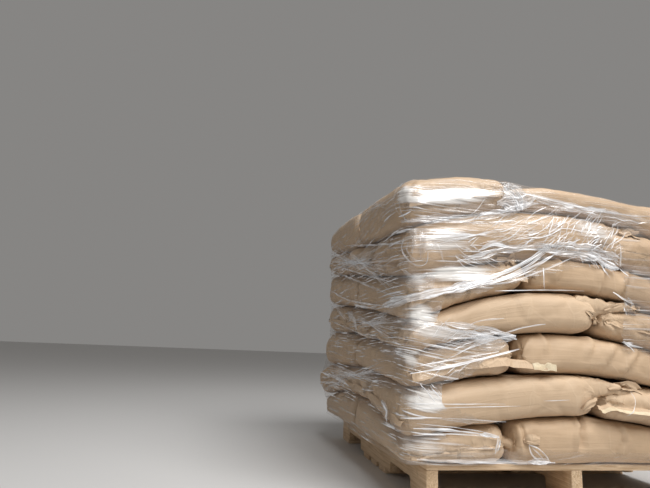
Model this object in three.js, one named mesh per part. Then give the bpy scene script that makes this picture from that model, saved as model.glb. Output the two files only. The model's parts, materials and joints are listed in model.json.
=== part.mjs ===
// A loaded pallet of paper sacks: a notched-stringer softwood pallet, seven courses of five
// filled sacks laid in an interlocking pattern, and the stretch film wound round the load.
// Millimetres, +Z up. Inside the model, x runs along the fork-entry front from the pallet's
// left corner and y runs back along the stringers. The finished group is moved so that its
// origin is the middle of its box, at floor level.

import * as THREE from 'three';

// Pallet
const PALLET_WIDTH = 1016;
const PALLET_DEPTH = 1219;
const BOARD_THICKNESS = 18;
const STRINGER_HEIGHT = 89;
const STRINGER_WIDTH = 38;
const DECK_BOARD_WIDTHS = [140, 152, 146, 158, 150, 146, 152, 140];
const BASE_LEAD_WIDTH = 140;
const BASE_INNER_WIDTH = 89;
const NOTCH_START = 152;
const NOTCH_END = 381;
const NOTCH_DEPTH = 38;
const NOTCH_RADIUS = 12;
const TOUCH_GAP = 0.3;

const STRINGER_BOTTOM = BOARD_THICKNESS + TOUCH_GAP;
const STRINGER_TOP = STRINGER_BOTTOM + STRINGER_HEIGHT;
const DECK_BOTTOM = STRINGER_TOP + TOUCH_GAP;
const DECK_TOP = DECK_BOTTOM + BOARD_THICKNESS;

// Load: the height of each course's upper face above the deck, at the front left corner, the
// middle of the front, the front right corner, the middle of the left side and the back left
// corner
const COURSE_TOPS = [
  { frontLeft: 82, frontMiddle: 146, frontRight: 70, leftMiddle: 146, backLeft: 112 },
  { frontLeft: 234, frontMiddle: 281, frontRight: 208, leftMiddle: 262, backLeft: 256 },
  { frontLeft: 355, frontMiddle: 412, frontRight: 312, leftMiddle: 392, backLeft: 420 },
  { frontLeft: 456, frontMiddle: 554, frontRight: 424, leftMiddle: 514, backLeft: 566 },
  { frontLeft: 590, frontMiddle: 664, frontRight: 580, leftMiddle: 652, backLeft: 718 },
  { frontLeft: 758, frontMiddle: 828, frontRight: 706, leftMiddle: 788, backLeft: 838 },
  { frontLeft: 930, frontMiddle: 940, frontRight: 874, leftMiddle: 962, backLeft: 962 },
];
// Each course's four sides, how far its left side leans out from front to back, and the line
// between its two columns of sacks
const COURSE_SIDES = [
  { left: -84, lean: 24, split: 268, right: 1010, front: -38, back: 1258 },
  { left: -92, lean: 40, split: 588, right: 1022, front: -46, back: 1266 },
  { left: -88, lean: 28, split: 300, right: 1014, front: -40, back: 1258 },
  { left: -94, lean: 0, split: 592, right: 1026, front: -50, back: 1268 },
  { left: -92, lean: 10, split: 342, right: 1016, front: -42, back: 1260 },
  { left: -94, lean: 14, split: 604, right: 1024, front: -48, back: 1266 },
  { left: -102, lean: 8, split: 292, right: 1012, front: -40, back: 1256 },
];
const CENTRE_CROWN = 6;
const SACK_GAP = 2;
const COURSE_GAP = 3;

// Sack: how far in its rounding reaches from a long side, from its outer end and from the end
// that lies inside the load, at which shares of that reach it is sampled, how full it is, and how
// far its corners are drawn in
const SIDE_REACH = 76;
const OUTER_END_REACH = 86;
const INNER_END_REACH = 190;
const ROUNDING_SHARES = [1, 0.8, 0.4, 0];
const ROUNDING_SQUARENESS = 2.5;
const ROUNDING_FULLNESS = 2.2;
const CORNER_DRAW = 0.7;
const LARGEST_STEP = 160;

// Stretch film: rows of the sleeve at a share of each course's height, with how far each row is
// drawn in from the course's own outline
const FILM_THICKNESS = 0.8;
const FILM_CLEARANCE = 3;
const FILM_FOOT = { above: 5, inset: 12 };
const FILM_SIDE_ROWS = [
  { share: 0.33, inset: 2 },
  { share: 0.67, inset: 2 },
];
const FILM_WAIST_INSET = 12;
const FILM_SHOULDER_ROWS = [
  { above: -32, inset: 5, tilt: 25 },
  { above: -5, inset: 28, tilt: 65 },
  { above: 4, inset: 72, tilt: 90 },
];
const FILM_DIRECTIONS = 16;
const FILM_SIDE_PARTS = 6;

const woodMaterial = new THREE.MeshStandardMaterial({ color: 0xd8b07a, roughness: 0.8, metalness: 0 });
const paperMaterial = new THREE.MeshStandardMaterial({ color: 0xc29b68, roughness: 0.75, metalness: 0 });
const filmMaterial = new THREE.MeshStandardMaterial({
  color: 0xe8ecee,
  roughness: 0.15,
  metalness: 0,
  transparent: true,
  opacity: 0.25,
});

const load = new THREE.Group();

function addMesh(name, geometry, material) {
  const mesh = new THREE.Mesh(geometry, material.clone());
  mesh.name = name;
  load.add(mesh);
  return mesh;
}

function addBoard(name, y, width, z) {
  const geometry = new THREE.BoxGeometry(PALLET_WIDTH, width, BOARD_THICKNESS);
  const board = addMesh(name, geometry, woodMaterial);
  board.position.set(PALLET_WIDTH / 2, y + width / 2, z + BOARD_THICKNESS / 2);
}

// One arched cut in a stringer's lower edge, drawn from its right foot to its left
function notch(outline, start, end) {
  const r = NOTCH_RADIUS;
  outline.lineTo(end, 0);
  outline.lineTo(end, NOTCH_DEPTH - r);
  outline.absarc(end - r, NOTCH_DEPTH - r, r, 0, Math.PI / 2, false);
  outline.lineTo(start + r, NOTCH_DEPTH);
  outline.absarc(start + r, NOTCH_DEPTH - r, r, Math.PI / 2, Math.PI, false);
  outline.lineTo(start, 0);
}

function addStringer(name, x) {
  const outline = new THREE.Shape();
  outline.moveTo(0, STRINGER_HEIGHT);
  outline.lineTo(PALLET_DEPTH, STRINGER_HEIGHT);
  outline.lineTo(PALLET_DEPTH, 0);
  notch(outline, PALLET_DEPTH - NOTCH_END, PALLET_DEPTH - NOTCH_START);
  notch(outline, NOTCH_START, NOTCH_END);
  outline.lineTo(0, 0);
  outline.closePath();
  const geometry = new THREE.ExtrudeGeometry(outline, {
    depth: STRINGER_WIDTH,
    bevelEnabled: false,
    curveSegments: 4,
  });
  const alongDepth = new THREE.Vector3(0, 1, 0);
  const up = new THREE.Vector3(0, 0, 1);
  const across = new THREE.Vector3(1, 0, 0);
  geometry.applyMatrix4(new THREE.Matrix4().makeBasis(alongDepth, up, across));
  addMesh(name, geometry, woodMaterial).position.set(x, 0, STRINGER_BOTTOM);
}

function addPallet() {
  addStringer('stringer_left', 0);
  addStringer('stringer_centre', (PALLET_WIDTH - STRINGER_WIDTH) / 2);
  addStringer('stringer_right', PALLET_WIDTH - STRINGER_WIDTH);
  const totalWidth = DECK_BOARD_WIDTHS.reduce((sum, width) => sum + width, 0);
  const deckGap = (PALLET_DEPTH - totalWidth) / (DECK_BOARD_WIDTHS.length - 1);
  let y = 0;
  DECK_BOARD_WIDTHS.forEach((width, index) => {
    addBoard(`deck_board_${index + 1}`, y, width, DECK_BOTTOM);
    y += width + deckGap;
  });
  const innerRoom = PALLET_DEPTH - 2 * NOTCH_END - BASE_INNER_WIDTH;
  const innerStarts = [0, 1, 2].map((index) => NOTCH_END + (innerRoom * (index + 0.5)) / 3);
  addBoard('base_board_front', 0, BASE_LEAD_WIDTH, 0);
  innerStarts.forEach((start, index) => {
    addBoard(`base_board_inner_${index + 1}`, start, BASE_INNER_WIDTH, 0);
  });
  addBoard('base_board_back', PALLET_DEPTH - BASE_LEAD_WIDTH, BASE_LEAD_WIDTH, 0);
}

// The value at t, from 0 to 1, of the parabola through a at 0, b at 0.5 and c at 1
function throughThree(t, a, b, c) {
  return a * (2 * t - 1) * (t - 1) + b * 4 * t * (1 - t) + c * t * (2 * t - 1);
}

// Height of the face between two courses at a point of the load. Course 0 is the deck. The
// back right corner repeats the front left one, and the right side's middle the left side's.
function courseHeight(course, x, y) {
  if (course === 0) {
    return DECK_TOP;
  }
  const top = COURSE_TOPS[course - 1];
  const centre = (top.frontMiddle + top.leftMiddle) / 2 + CENTRE_CROWN;
  const s = x / PALLET_WIDTH;
  const t = y / PALLET_DEPTH;
  const front = throughThree(s, top.frontLeft, top.frontMiddle, top.frontRight);
  const middle = throughThree(s, top.leftMiddle, centre, top.leftMiddle);
  const back = throughThree(s, top.backLeft, top.frontMiddle, top.frontLeft);
  return DECK_TOP + throughThree(t, front, middle, back);
}

// Places from -half to half, each with its share of the rounding's reach at that end. A share is
// 0 on the flat part between the roundings, which is divided evenly.
function stations(half, reachBelow, reachAbove) {
  const below = ROUNDING_SHARES.map((share) => ({ base: reachBelow - half, reach: -reachBelow, share }));
  const above = ROUNDING_SHARES.map((share) => ({ base: half - reachAbove, reach: reachAbove, share }));
  const flat = 2 * half - reachBelow - reachAbove;
  const parts = Math.ceil(flat / LARGEST_STEP);
  const between = Array.from({ length: parts - 1 }, (unused, index) => (
    { base: reachBelow - half + (flat * (index + 1)) / parts, reach: 0, share: 0 }
  ));
  return [...below, ...between, ...above.reverse()];
}

function indexedGeometry(positions, faces) {
  const geometry = new THREE.BufferGeometry();
  geometry.setAttribute('position', new THREE.Float32BufferAttribute(positions, 3));
  geometry.setIndex(faces);
  geometry.computeVertexNormals();
  return geometry;
}

// Share of the full thickness where the rounding's shares are a and b in the two directions
function thicknessShare(a, b) {
  const fromFlat = Math.sqrt(a * a + b * b - a * a * b * b);
  return Math.max(0, 1 - fromFlat ** ROUNDING_SQUARENESS) ** (1 / ROUNDING_FULLNESS);
}

// A station's place, drawn in by the other direction's share, which rounds the corners in plan
function placeOf({ base, reach, share }, otherShare) {
  return base + reach * share * Math.sqrt(1 - (CORNER_DRAW * otherShare * otherShare) / 2);
}

// How far a place of a course is moved because its left side leans out towards the back
function leanAt(course, x, y) {
  const { left, lean, right, front, back } = COURSE_SIDES[course - 1];
  return (-lean * (y - front) * (right - x)) / ((back - front) * (right - left));
}

// A filled sack lying between two courses' faces: an upper and a lower skin over one grid of
// its plan, joined along the rim. inner is the sign of the end that lies inside the load.
function sackGeometry(course, x0, x1, y0, y1, inner) {
  const lengthAlongX = x1 - x0 > y1 - y0;
  const halfX = (x1 - x0) / 2;
  const halfY = (y1 - y0) / 2;
  const endReaches = inner > 0 ? [OUTER_END_REACH, INNER_END_REACH] : [INNER_END_REACH, OUTER_END_REACH];
  const sideReaches = [SIDE_REACH, SIDE_REACH];
  const columns = stations(halfX, ...(lengthAlongX ? endReaches : sideReaches));
  const rows = stations(halfY, ...(lengthAlongX ? sideReaches : endReaches));
  const positions = [];
  const upper = [];
  const lower = [];
  for (const v of rows) {
    for (const u of columns) {
      const straightX = x0 + halfX + placeOf(u, v.share);
      const y = y0 + halfY + placeOf(v, u.share);
      const x = straightX + leanAt(course, straightX, y);
      const floor = courseHeight(course - 1, x, y) + COURSE_GAP / 2;
      const ceiling = courseHeight(course, x, y) - COURSE_GAP / 2;
      const middle = (floor + ceiling) / 2;
      const half = ((ceiling - floor) / 2) * thicknessShare(u.share, v.share);
      upper.push(positions.length / 3);
      positions.push(x, y, middle + half);
      const onRim = u.share === 1 || v.share === 1;
      if (onRim) {
        lower.push(upper[upper.length - 1]);
      } else {
        lower.push(positions.length / 3);
        positions.push(x, y, middle - half);
      }
    }
  }
  const faces = [];
  const row = columns.length;
  for (let j = 0; j < rows.length - 1; j += 1) {
    for (let i = 0; i < row - 1; i += 1) {
      const a = j * row + i;
      const corners = [a, a + 1, a + row + 1, a + row];
      const [p, q, r, s] = corners.map((corner) => upper[corner]);
      faces.push(p, q, r, p, r, s);
      const [k, l, m, n] = corners.map((corner) => lower[corner]);
      faces.push(k, m, l, k, n, m);
    }
  }
  return indexedGeometry(positions, faces);
}

// The sacks of one column of a course, front to back. Two sacks lie lengthwise, end to end, and
// three lie crosswise with one end at the split. splitSide is the sign of the split's side.
function addColumn(course, firstNumber, count, x0, x1, splitSide) {
  const { front, back } = COURSE_SIDES[course - 1];
  const pitch = (back - front) / count;
  for (let index = 0; index < count; index += 1) {
    const y0 = front + index * pitch + SACK_GAP / 2;
    const lengthwiseInner = index === 0 ? 1 : -1;
    const inner = count === 2 ? lengthwiseInner : splitSide;
    const geometry = sackGeometry(course, x0, x1, y0, y0 + pitch - SACK_GAP, inner);
    addMesh(`sack_${course}_${firstNumber + index}`, geometry, paperMaterial);
  }
}

// Odd courses have two lengthwise sacks on the left and three crosswise ones on the right.
// Even courses have three crosswise ones on the left and two lengthwise ones on the right.
function addSacks() {
  COURSE_SIDES.forEach((sides, index) => {
    const course = index + 1;
    const leftCount = course % 2 === 1 ? 2 : 3;
    addColumn(course, 1, leftCount, sides.left, sides.split - SACK_GAP / 2, 1);
    addColumn(course, leftCount + 1, 5 - leftCount, sides.split + SACK_GAP / 2, sides.right, -1);
  });
}

// The corner points of one course's sacks, in plan
function coursePoints(course) {
  const points = [];
  load.children.filter((mesh) => mesh.name.startsWith(`sack_${course}_`)).forEach((mesh) => {
    const position = mesh.geometry.getAttribute('position');
    for (let i = 0; i < position.count; i += 1) {
      points.push(new THREE.Vector2(position.getX(i), position.getY(i)));
    }
  });
  return points;
}

// The point where two lines meet, each given by its normal's angle and its distance
function meeting(angleA, reachA, angleB, reachB) {
  const scale = 1 / Math.sin(angleB - angleA);
  return new THREE.Vector2(
    (reachA * Math.sin(angleB) - reachB * Math.sin(angleA)) * scale,
    (reachB * Math.cos(angleA) - reachA * Math.cos(angleB)) * scale,
  );
}

// The taut outline round one course: the polygon whose sides touch the sacks in evenly spaced
// directions, with its four long sides divided. It has the same count of points each time.
function tautOutline(course) {
  const points = coursePoints(course);
  const step = (2 * Math.PI) / FILM_DIRECTIONS;
  const reaches = [];
  for (let i = 0; i < FILM_DIRECTIONS; i += 1) {
    const normal = new THREE.Vector2(Math.cos(i * step), Math.sin(i * step));
    const reach = points.reduce((most, point) => Math.max(most, point.dot(normal)), -Infinity);
    reaches.push(reach + FILM_CLEARANCE);
  }
  const reachAt = (i) => reaches[(i + FILM_DIRECTIONS) % FILM_DIRECTIONS];
  const corner = (i) => meeting(i * step, reachAt(i), (i + 1) * step, reachAt(i + 1));
  const outline = [];
  for (let i = 0; i < FILM_DIRECTIONS; i += 1) {
    const parts = i % (FILM_DIRECTIONS / 4) === 0 ? FILM_SIDE_PARTS : 1;
    for (let part = 0; part < parts; part += 1) {
      outline.push(corner(i - 1).lerp(corner(i), part / parts));
    }
  }
  return outline;
}

// An outline drawn in towards its middle by about the same distance all round
function drawnIn(outline, inset) {
  const box = new THREE.Box2().setFromPoints(outline);
  const centre = box.getCenter(new THREE.Vector2());
  const half = box.getSize(new THREE.Vector2()).multiplyScalar(0.5);
  return outline.map((point) => new THREE.Vector2(
    centre.x + (point.x - centre.x) * (1 - inset / half.x),
    centre.y + (point.y - centre.y) * (1 - inset / half.y),
  ));
}

function between(outlineA, outlineB) {
  return outlineA.map((point, i) => point.clone().lerp(outlineB[i], 0.5));
}

// The rows of the film's inner face, from its foot, which tucks in over the deck's edge, up the
// sides and in between the courses, to the collar that laps over the top course's shoulder. Each
// row has the tilt, in degrees, of its face from upright.
function filmRows() {
  const courses = COURSE_SIDES.length;
  const outlines = COURSE_SIDES.map((sides, index) => tautOutline(index + 1));
  const raised = (outline, height, tilt = 0) => (
    { tilt, points: outline.map((p) => new THREE.Vector3(p.x, p.y, height(p))) }
  );
  const rows = [raised(drawnIn(outlines[0], FILM_FOOT.inset), () => DECK_TOP + FILM_FOOT.above)];
  outlines.forEach((outline, index) => {
    for (const { share, inset } of FILM_SIDE_ROWS) {
      const height = (p) => {
        const floor = courseHeight(index, p.x, p.y);
        return floor + share * (courseHeight(index + 1, p.x, p.y) - floor);
      };
      rows.push(raised(drawnIn(outline, inset), height));
    }
    if (index < courses - 1) {
      const waist = drawnIn(between(outline, outlines[index + 1]), FILM_WAIST_INSET);
      rows.push(raised(waist, (p) => courseHeight(index + 1, p.x, p.y)));
    }
  });
  for (const { above, inset, tilt } of FILM_SHOULDER_ROWS) {
    const shoulder = drawnIn(outlines[courses - 1], inset);
    rows.push(raised(shoulder, (p) => courseHeight(courses, p.x, p.y) + above, tilt));
  }
  return rows;
}

// The film is a thin sleeve, open above and below, whose wall stands outside its inner face
function filmGeometry() {
  const rows = filmRows();
  const count = rows[0].points.length;
  const centre = new THREE.Vector3(PALLET_WIDTH / 2, PALLET_DEPTH / 2, 0);
  const outerRows = rows.map(({ points, tilt }) => points.map((point) => {
    const angle = THREE.MathUtils.degToRad(tilt);
    const outward = point.clone().sub(centre).setZ(0).setLength(FILM_THICKNESS * Math.cos(angle));
    return point.clone().add(outward).setZ(point.z + FILM_THICKNESS * Math.sin(angle));
  }));
  const innerPoints = rows.flatMap(({ points }) => points);
  const positions = [...innerPoints, ...outerRows.flat()].flatMap((point) => point.toArray());
  const outer = innerPoints.length;
  const last = outer - count;
  const faces = [];
  const addQuad = (a, b, c, d) => faces.push(a, b, c, a, c, d);
  for (let i = 0; i < count; i += 1) {
    const next = (i + 1) % count;
    addQuad(i, next, outer + next, outer + i);
    addQuad(last + next, last + i, outer + last + i, outer + last + next);
    for (let row = 0; row < last; row += count) {
      const above = row + count;
      addQuad(outer + row + i, outer + row + next, outer + above + next, outer + above + i);
      addQuad(row + i, above + i, above + next, row + next);
    }
  }
  return indexedGeometry(positions, faces);
}

addPallet();
addSacks();
addMesh('stretch_film', filmGeometry(), filmMaterial);

load.updateMatrixWorld(true);
const centre = new THREE.Box3().setFromObject(load, true).getCenter(new THREE.Vector3());
load.position.set(-centre.x, -centre.y, 0);

export default load;
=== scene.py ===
# A loaded pallet of kraft paper sacks bound with clear stretch film, dressed over its solids.
# Metres, +Z up. Places on the load are measured from the pallet's front left corner and up from
# its deck, as they would be on the real load, and are moved into the frame at the end.

import json
import math
from collections import namedtuple

import bmesh
import bpy
import numpy as np
from mathutils import Matrix, Vector
from mathutils.bvhtree import BVHTree

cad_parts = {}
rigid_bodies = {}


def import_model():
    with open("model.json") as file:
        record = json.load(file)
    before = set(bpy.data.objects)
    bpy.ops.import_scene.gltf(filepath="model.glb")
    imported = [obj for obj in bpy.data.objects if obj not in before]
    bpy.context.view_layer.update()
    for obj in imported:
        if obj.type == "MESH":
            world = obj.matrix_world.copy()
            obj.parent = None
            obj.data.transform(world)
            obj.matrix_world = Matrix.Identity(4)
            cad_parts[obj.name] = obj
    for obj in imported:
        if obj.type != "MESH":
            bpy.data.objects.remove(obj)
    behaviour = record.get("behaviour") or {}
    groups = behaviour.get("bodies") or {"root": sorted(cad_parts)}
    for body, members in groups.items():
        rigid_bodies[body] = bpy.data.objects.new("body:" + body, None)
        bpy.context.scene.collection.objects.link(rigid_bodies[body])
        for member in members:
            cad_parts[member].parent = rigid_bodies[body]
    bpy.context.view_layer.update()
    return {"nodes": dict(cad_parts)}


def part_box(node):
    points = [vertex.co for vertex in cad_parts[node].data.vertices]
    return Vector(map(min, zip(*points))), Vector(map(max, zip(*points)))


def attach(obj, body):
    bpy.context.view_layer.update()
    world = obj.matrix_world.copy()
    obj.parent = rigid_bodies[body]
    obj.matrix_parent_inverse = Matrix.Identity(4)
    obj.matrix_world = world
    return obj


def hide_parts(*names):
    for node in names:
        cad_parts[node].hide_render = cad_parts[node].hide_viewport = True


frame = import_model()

# Pallet, from the frame
FRONT_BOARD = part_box("deck_board_1")
BACK_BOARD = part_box("deck_board_8")
LOAD_ORIGIN = np.array([FRONT_BOARD[0].x, FRONT_BOARD[0].y, FRONT_BOARD[1].z])
PALLET_WIDTH = FRONT_BOARD[1].x - FRONT_BOARD[0].x
PALLET_DEPTH = BACK_BOARD[1].y - FRONT_BOARD[0].y

# Load: the height of each course's upper face above the deck at five places of its plan
CourseTop = namedtuple("CourseTop", "front_left front_middle front_right left_middle back_left")
COURSE_TOPS = [
    CourseTop(0.082, 0.146, 0.070, 0.146, 0.112),
    CourseTop(0.234, 0.281, 0.208, 0.262, 0.256),
    CourseTop(0.355, 0.412, 0.312, 0.392, 0.420),
    CourseTop(0.456, 0.554, 0.424, 0.514, 0.566),
    CourseTop(0.590, 0.664, 0.580, 0.652, 0.718),
    CourseTop(0.758, 0.828, 0.706, 0.788, 0.838),
    CourseTop(0.930, 0.940, 0.874, 0.962, 0.962),
]
# Each course's sides, how far its left side leans out towards the back, and the line between
# its two columns of sacks
CourseSides = namedtuple("CourseSides", "left lean split right front back")
COURSE_SIDES = [
    CourseSides(-0.084, 0.024, 0.268, 1.010, -0.038, 1.258),
    CourseSides(-0.092, 0.040, 0.588, 1.022, -0.046, 1.266),
    CourseSides(-0.088, 0.028, 0.300, 1.014, -0.040, 1.258),
    CourseSides(-0.094, 0.000, 0.592, 1.026, -0.050, 1.268),
    CourseSides(-0.092, 0.010, 0.342, 1.016, -0.042, 1.260),
    CourseSides(-0.094, 0.014, 0.604, 1.024, -0.048, 1.266),
    CourseSides(-0.102, 0.008, 0.292, 1.012, -0.040, 1.256),
]
COURSES = len(COURSE_TOPS)
CENTRE_CROWN = 0.006
SACK_GAP = 0.002
COURSE_GAP = 0.0015
COURSE_WAVE = 0.004
# How far the top course has sunk on its left side and over the inner end of its right front sack,
# and where each of the two fades in or out along the front and towards the back
TOP_SUNK_LEFT = 0.018
LEFT_SUNK_TO = (-0.04, 0.18)
LEFT_SUNK_BACK = (0.6, 1.2)
LEFT_SUNK_BACK_LESS = 0.6
TOP_SUNK_INNER = 0.028
INNER_SUNK_FROM = (0.20, 0.34)
INNER_SUNK_TO = (0.66, 1.0)
INNER_SUNK_BACK = (0.15, 0.55)
INNER_SUNK_SACK = "sack_7_3"

# Sack: how far in its rounding reaches from its sides and its two ends, how full it is, how far
# its corners are drawn in, the grid of one skin, the share of that grid over the flat part, and
# how far back a sack may start and still be one of the near ones
SIDE_REACH = 0.076
OUTER_END_REACH = 0.086
TAPERED_END_REACH = 0.098
INNER_END_REACH = 0.055
ROUNDING_SQUARENESS = 3.2
ROUNDING_FULLNESS = 2.8
CORNER_DRAW = 0.7
SACK_GRIDS = {"near": (112, 60), "far": (72, 40)}
FLAT_SHARE = 0.5
NEAR_START = 0.2

# Pallet pieces: how much their edges are worn, how sharp an edge has to be to wear, in degrees,
# and how many slices they are cut into
PLANK_EDGE = 0.0014
PLANK_SHARP = 50
PLANK_SLICES = 28

# Nail heads: their radius and how much narrower their upper side is, their thickness, how far they
# are sunk in the base boards, how many hold a board to a stringer, how far off their line they may
# be driven and how far they may lean
NAIL_HEAD = 0.0042
NAIL_TAPER = 0.86
NAIL_THICKNESS = 0.0012
NAIL_SUNK = 0.0002
NAILS_PER_CROSSING = 2
NAIL_STRAY = (0.016, 0.012)
NAIL_LEAN = 0.10

# Sewn ends: how far the hem reaches, how far it runs past the sack's sides, how it hangs under
# the film and where it is bare, in degrees, how soon it bends, which part of its width lies on
# the sack and how much of the sack's width that covers, and its tape
HEM_REACH = 0.025
HEM_REACH_BARE = 0.036
HEM_REACH_TUCKED = 0.014
HEM_LIFT_TUCKED = -0.007
HEM_EARS = 0.022
HEM_EAR_BARE = 0.045
HEM_TUCK = -0.012
HEM_DROOP = 78
HEM_DROOP_BARE = 34
HEM_BEND = 0.012
HEM_HELD = 0.82
HEM_COVER = 0.80
HEM_OUTSIDE = 0.12
TAPE_WIDTH = 0.014
TAPE_PAST_HEM = 0.002
TAPE_LIFT = 0.0015
BARE_HEM = "sack_2_4"
TUCKED_HEMS = ("sack_1_1", "sack_4_4", "sack_6_4")
# The one hem that runs on into a long flap of paper, and the part of its width that is taped
LONG_EAR = "sack_3_1"
LONG_EAR_REACH = 0.158
LONG_EAR_TAPE = 0.026
LONG_EAR_DROP = 0.012
LONG_EAR_TAPE_TO = -0.905

# Flattened inner ends that stick out over the next sack: how far out they start and end, how far
# they lie below the course's upper face, how they hang, in degrees, and how wide and thick they
# are. Then the sacks that have one, its grid, how thick its tip is and how full it is.
Beak = namedtuple("Beak", "sack end first last below droop width thick")
BEAKS = [
    Beak("sack_4_1", 1, -0.075, 0.160, 0.003, 4, 0.96, 0.042),
    Beak("sack_2_1", 1, -0.075, 0.165, 0.003, 6, 0.96, 0.042),
    Beak("sack_6_1", 1, -0.075, 0.160, 0.008, 4, 0.96, 0.042),
    Beak("sack_1_3", 1, -0.050, 0.040, 0.048, 4, 0.84, 0.030),
]
TAPERED_SACKS = ("sack_2_1", "sack_4_1", "sack_6_1")
BEAK_GRID = (36, 60)
BEAK_TIP = 0.006
# The sacks that such an end presses on, how far down, and where, from the sack's side and the front
PRESSED_SACKS = ("sack_2_4", "sack_4_4", "sack_6_4")
BEAK_PRESS = 0.034
PRESS_MIDDLE = 0.06
PRESS_WIDTH = 0.12
PRESS_BACK = (0.06, 0.30)

# Film: the rounded outline that it is drawn in from, the shoulder over the top course, the rows
# of its side, shoulder and collar, where it starts and ends round the load, and the spacing of its
# columns on the faces in view, which lie between the two places of FILM_IN_VIEW, and on the rest
FilmSides = namedtuple("FilmSides", "left right front back")
FILM_SIDES = FilmSides(-0.170, 1.078, -0.098, 1.318)
FILM_CORNER = 0.15
FILM_SHOULDER = 0.11
FILM_HEADROOM = 0.035
FILM_COLLAR = 0.060
FILM_FOOT = 0.004
FILM_ROWS = (140, 14, 9)
FILM_START = -0.75
FILM_OVERLAP = 0.20
FILM_STEPS = (0.0075, 0.0135)
FILM_IN_VIEW = (-0.25, 2.45)
FILM_GAP = 0.0012
FILM_REACH = 0.12
FILM_LAP = 0.002
# How sharply the film bends into a hollow, and how many places of its grid it is drawn taut over
BENDS_ROUND = 0.9
BENDS_UP = 9.0
TAUT_ROUND = 44
TAUT_UP = 26

# Loose strips: the plane of the front that they are drawn on, the places along one, the fewest
# that it may keep and the longest step between two, the width past which one is folded and finely
# made, how far it lies off what is under it, how far away that is looked for, and how far behind
# the plane one may go, as an ear of paper, as film that bridges a gap, or as film that lies free
FRONT_PLANE = -0.048
LINE_PLACES = 60
FEWEST_PLACES = 12
LONGEST_LEAP = 0.06
FOLDED_WIDTH = 0.012
STRIP_LIFT = 0.0012
STRIP_SEARCH = 0.03
EAR_DEPTH = 0.045
BRIDGE_DEPTH = 0.030
FREE_DEPTH = 9.0
PAPER_CRUSH = 2.2

# Distance round the outline at the middle of the near corner
FILM_NEAR_CORNER = FILM_SIDES.back - FILM_SIDES.front - 2 * FILM_CORNER + FILM_CORNER * math.pi / 4

# How pale the paper of the sacks in front is, from 0 up. The low tones of sack_5_3 and sack_7_3
# are painted shade: they darken the paper for the shade that falls on these sacks from above
PAPER_TONES_AND_SHADE = {
    "sack_1_1": 1.3, "sack_1_3": 0.0, "sack_2_1": 0.85, "sack_3_3": 0.35,
    "sack_4_1": 0.9, "sack_5_3": 0.0, "sack_7_3": 0.0,
}

# Sharp folds across single sacks: how deep each is against the others, below 0 for a ridge, and
# its places along the front and above the deck
FOLDS = {
    "sack_1_3": [
        (-1.3, (0.492, 0.060), (0.493, 0.084), (0.502, 0.120), (0.516, 0.150)),
        (0.9, (0.640, 0.048), (0.662, 0.085), (0.655, 0.122)),
        (0.8, (0.309, 0.117), (0.310, 0.069)),
    ],
    "sack_3_3": [
        (0.9, (0.413, 0.416), (0.414, 0.361)), (1.0, (0.586, 0.394), (0.554, 0.347)),
        (1.2, (0.740, 0.360), (0.683, 0.297)), (1.1, (0.651, 0.370), (0.611, 0.317)),
    ],
    "sack_5_3": [
        (1.1, (0.623, 0.644), (0.607, 0.564)), (1.2, (0.721, 0.622), (0.679, 0.558)),
        (1.0, (0.474, 0.655), (0.449, 0.592)),
    ],
    "sack_4_1": [(0.7, (0.565, 0.542), (0.584, 0.493), (0.552, 0.442))],
    "sack_2_1": [(0.8, (0.550, 0.277), (0.577, 0.239))],
}
# How deep and wide a fold is, how soon it fades past its ends, and how far back it goes
FOLD_DEPTH = 0.0105
FOLD_WIDTH = 0.011
FOLD_FADE = 0.012
FOLD_BACK = 0.06

# Painted highlights: the patches where the film is painted white on the front, standing for the
# reflection of the light in it. The middle of each patch along the front and above the deck, its
# half width and half height, how much it rises to the right, and its strength
Glare = namedtuple("Glare", "x z half_x half_z rise strength")
PAINTED_HIGHLIGHTS = [
    Glare(0.055, 0.846, 0.190, 0.031, 0.12, 1.15), Glare(-0.088, 0.848, 0.036, 0.038, 0.0, 1.15),
    Glare(0.280, 0.882, 0.110, 0.018, 0.05, 0.55), Glare(0.024, 0.697, 0.140, 0.050, 0.07, 0.84),
    Glare(-0.045, 0.690, 0.045, 0.060, 0.0, 0.65), Glare(0.100, 0.592, 0.130, 0.025, 0.06, 1.25),
    Glare(-0.045, 0.560, 0.040, 0.045, 0.0, 0.65), Glare(-0.034, 0.446, 0.055, 0.040, -0.10, 1.20),
    Glare(0.030, 0.400, 0.120, 0.030, 0.0, 0.84), Glare(-0.062, 0.308, 0.024, 0.038, -0.5, 0.72),
    Glare(0.090, 0.316, 0.170, 0.014, 0.25, 0.55), Glare(-0.011, 0.193, 0.070, 0.036, 0.0, 1.25),
    Glare(-0.026, 0.058, 0.085, 0.026, -0.12, 0.90), Glare(0.580, 0.765, 0.100, 0.045, -0.10, 0.66),
    Glare(0.330, 0.770, 0.150, 0.026, 0.05, 0.50), Glare(0.090, 0.804, 0.170, 0.017, 0.07, 0.56),
    Glare(0.120, 0.036, 0.130, 0.010, 0.0, 0.5), Glare(-0.052, 0.336, 0.034, 0.010, 0.45, 0.8),
]

# How sharply each painted highlight patch ends, and where they all fade towards the back
GLARE_EDGE = 1.5
GLARE_BACK = (-0.005, 0.060)

# The torn opening in the film's front, as places along the front and above the deck
TORN_OPENING = [
    (0.041, 0.503), (0.160, 0.532), (0.300, 0.572), (0.445, 0.617), (0.595, 0.654), (0.678, 0.646),
    (0.679, 0.537), (0.660, 0.370), (0.782, 0.348), (0.920, 0.314), (0.900, 0.060), (0.640, 0.041),
    (0.421, 0.047), (0.219, 0.052), (0.056, 0.080), (0.024, 0.123), (0.237, 0.126), (0.040, 0.182),
    (0.031, 0.241), (0.123, 0.265), (0.225, 0.370), (0.124, 0.403), (0.024, 0.445),
]
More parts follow.
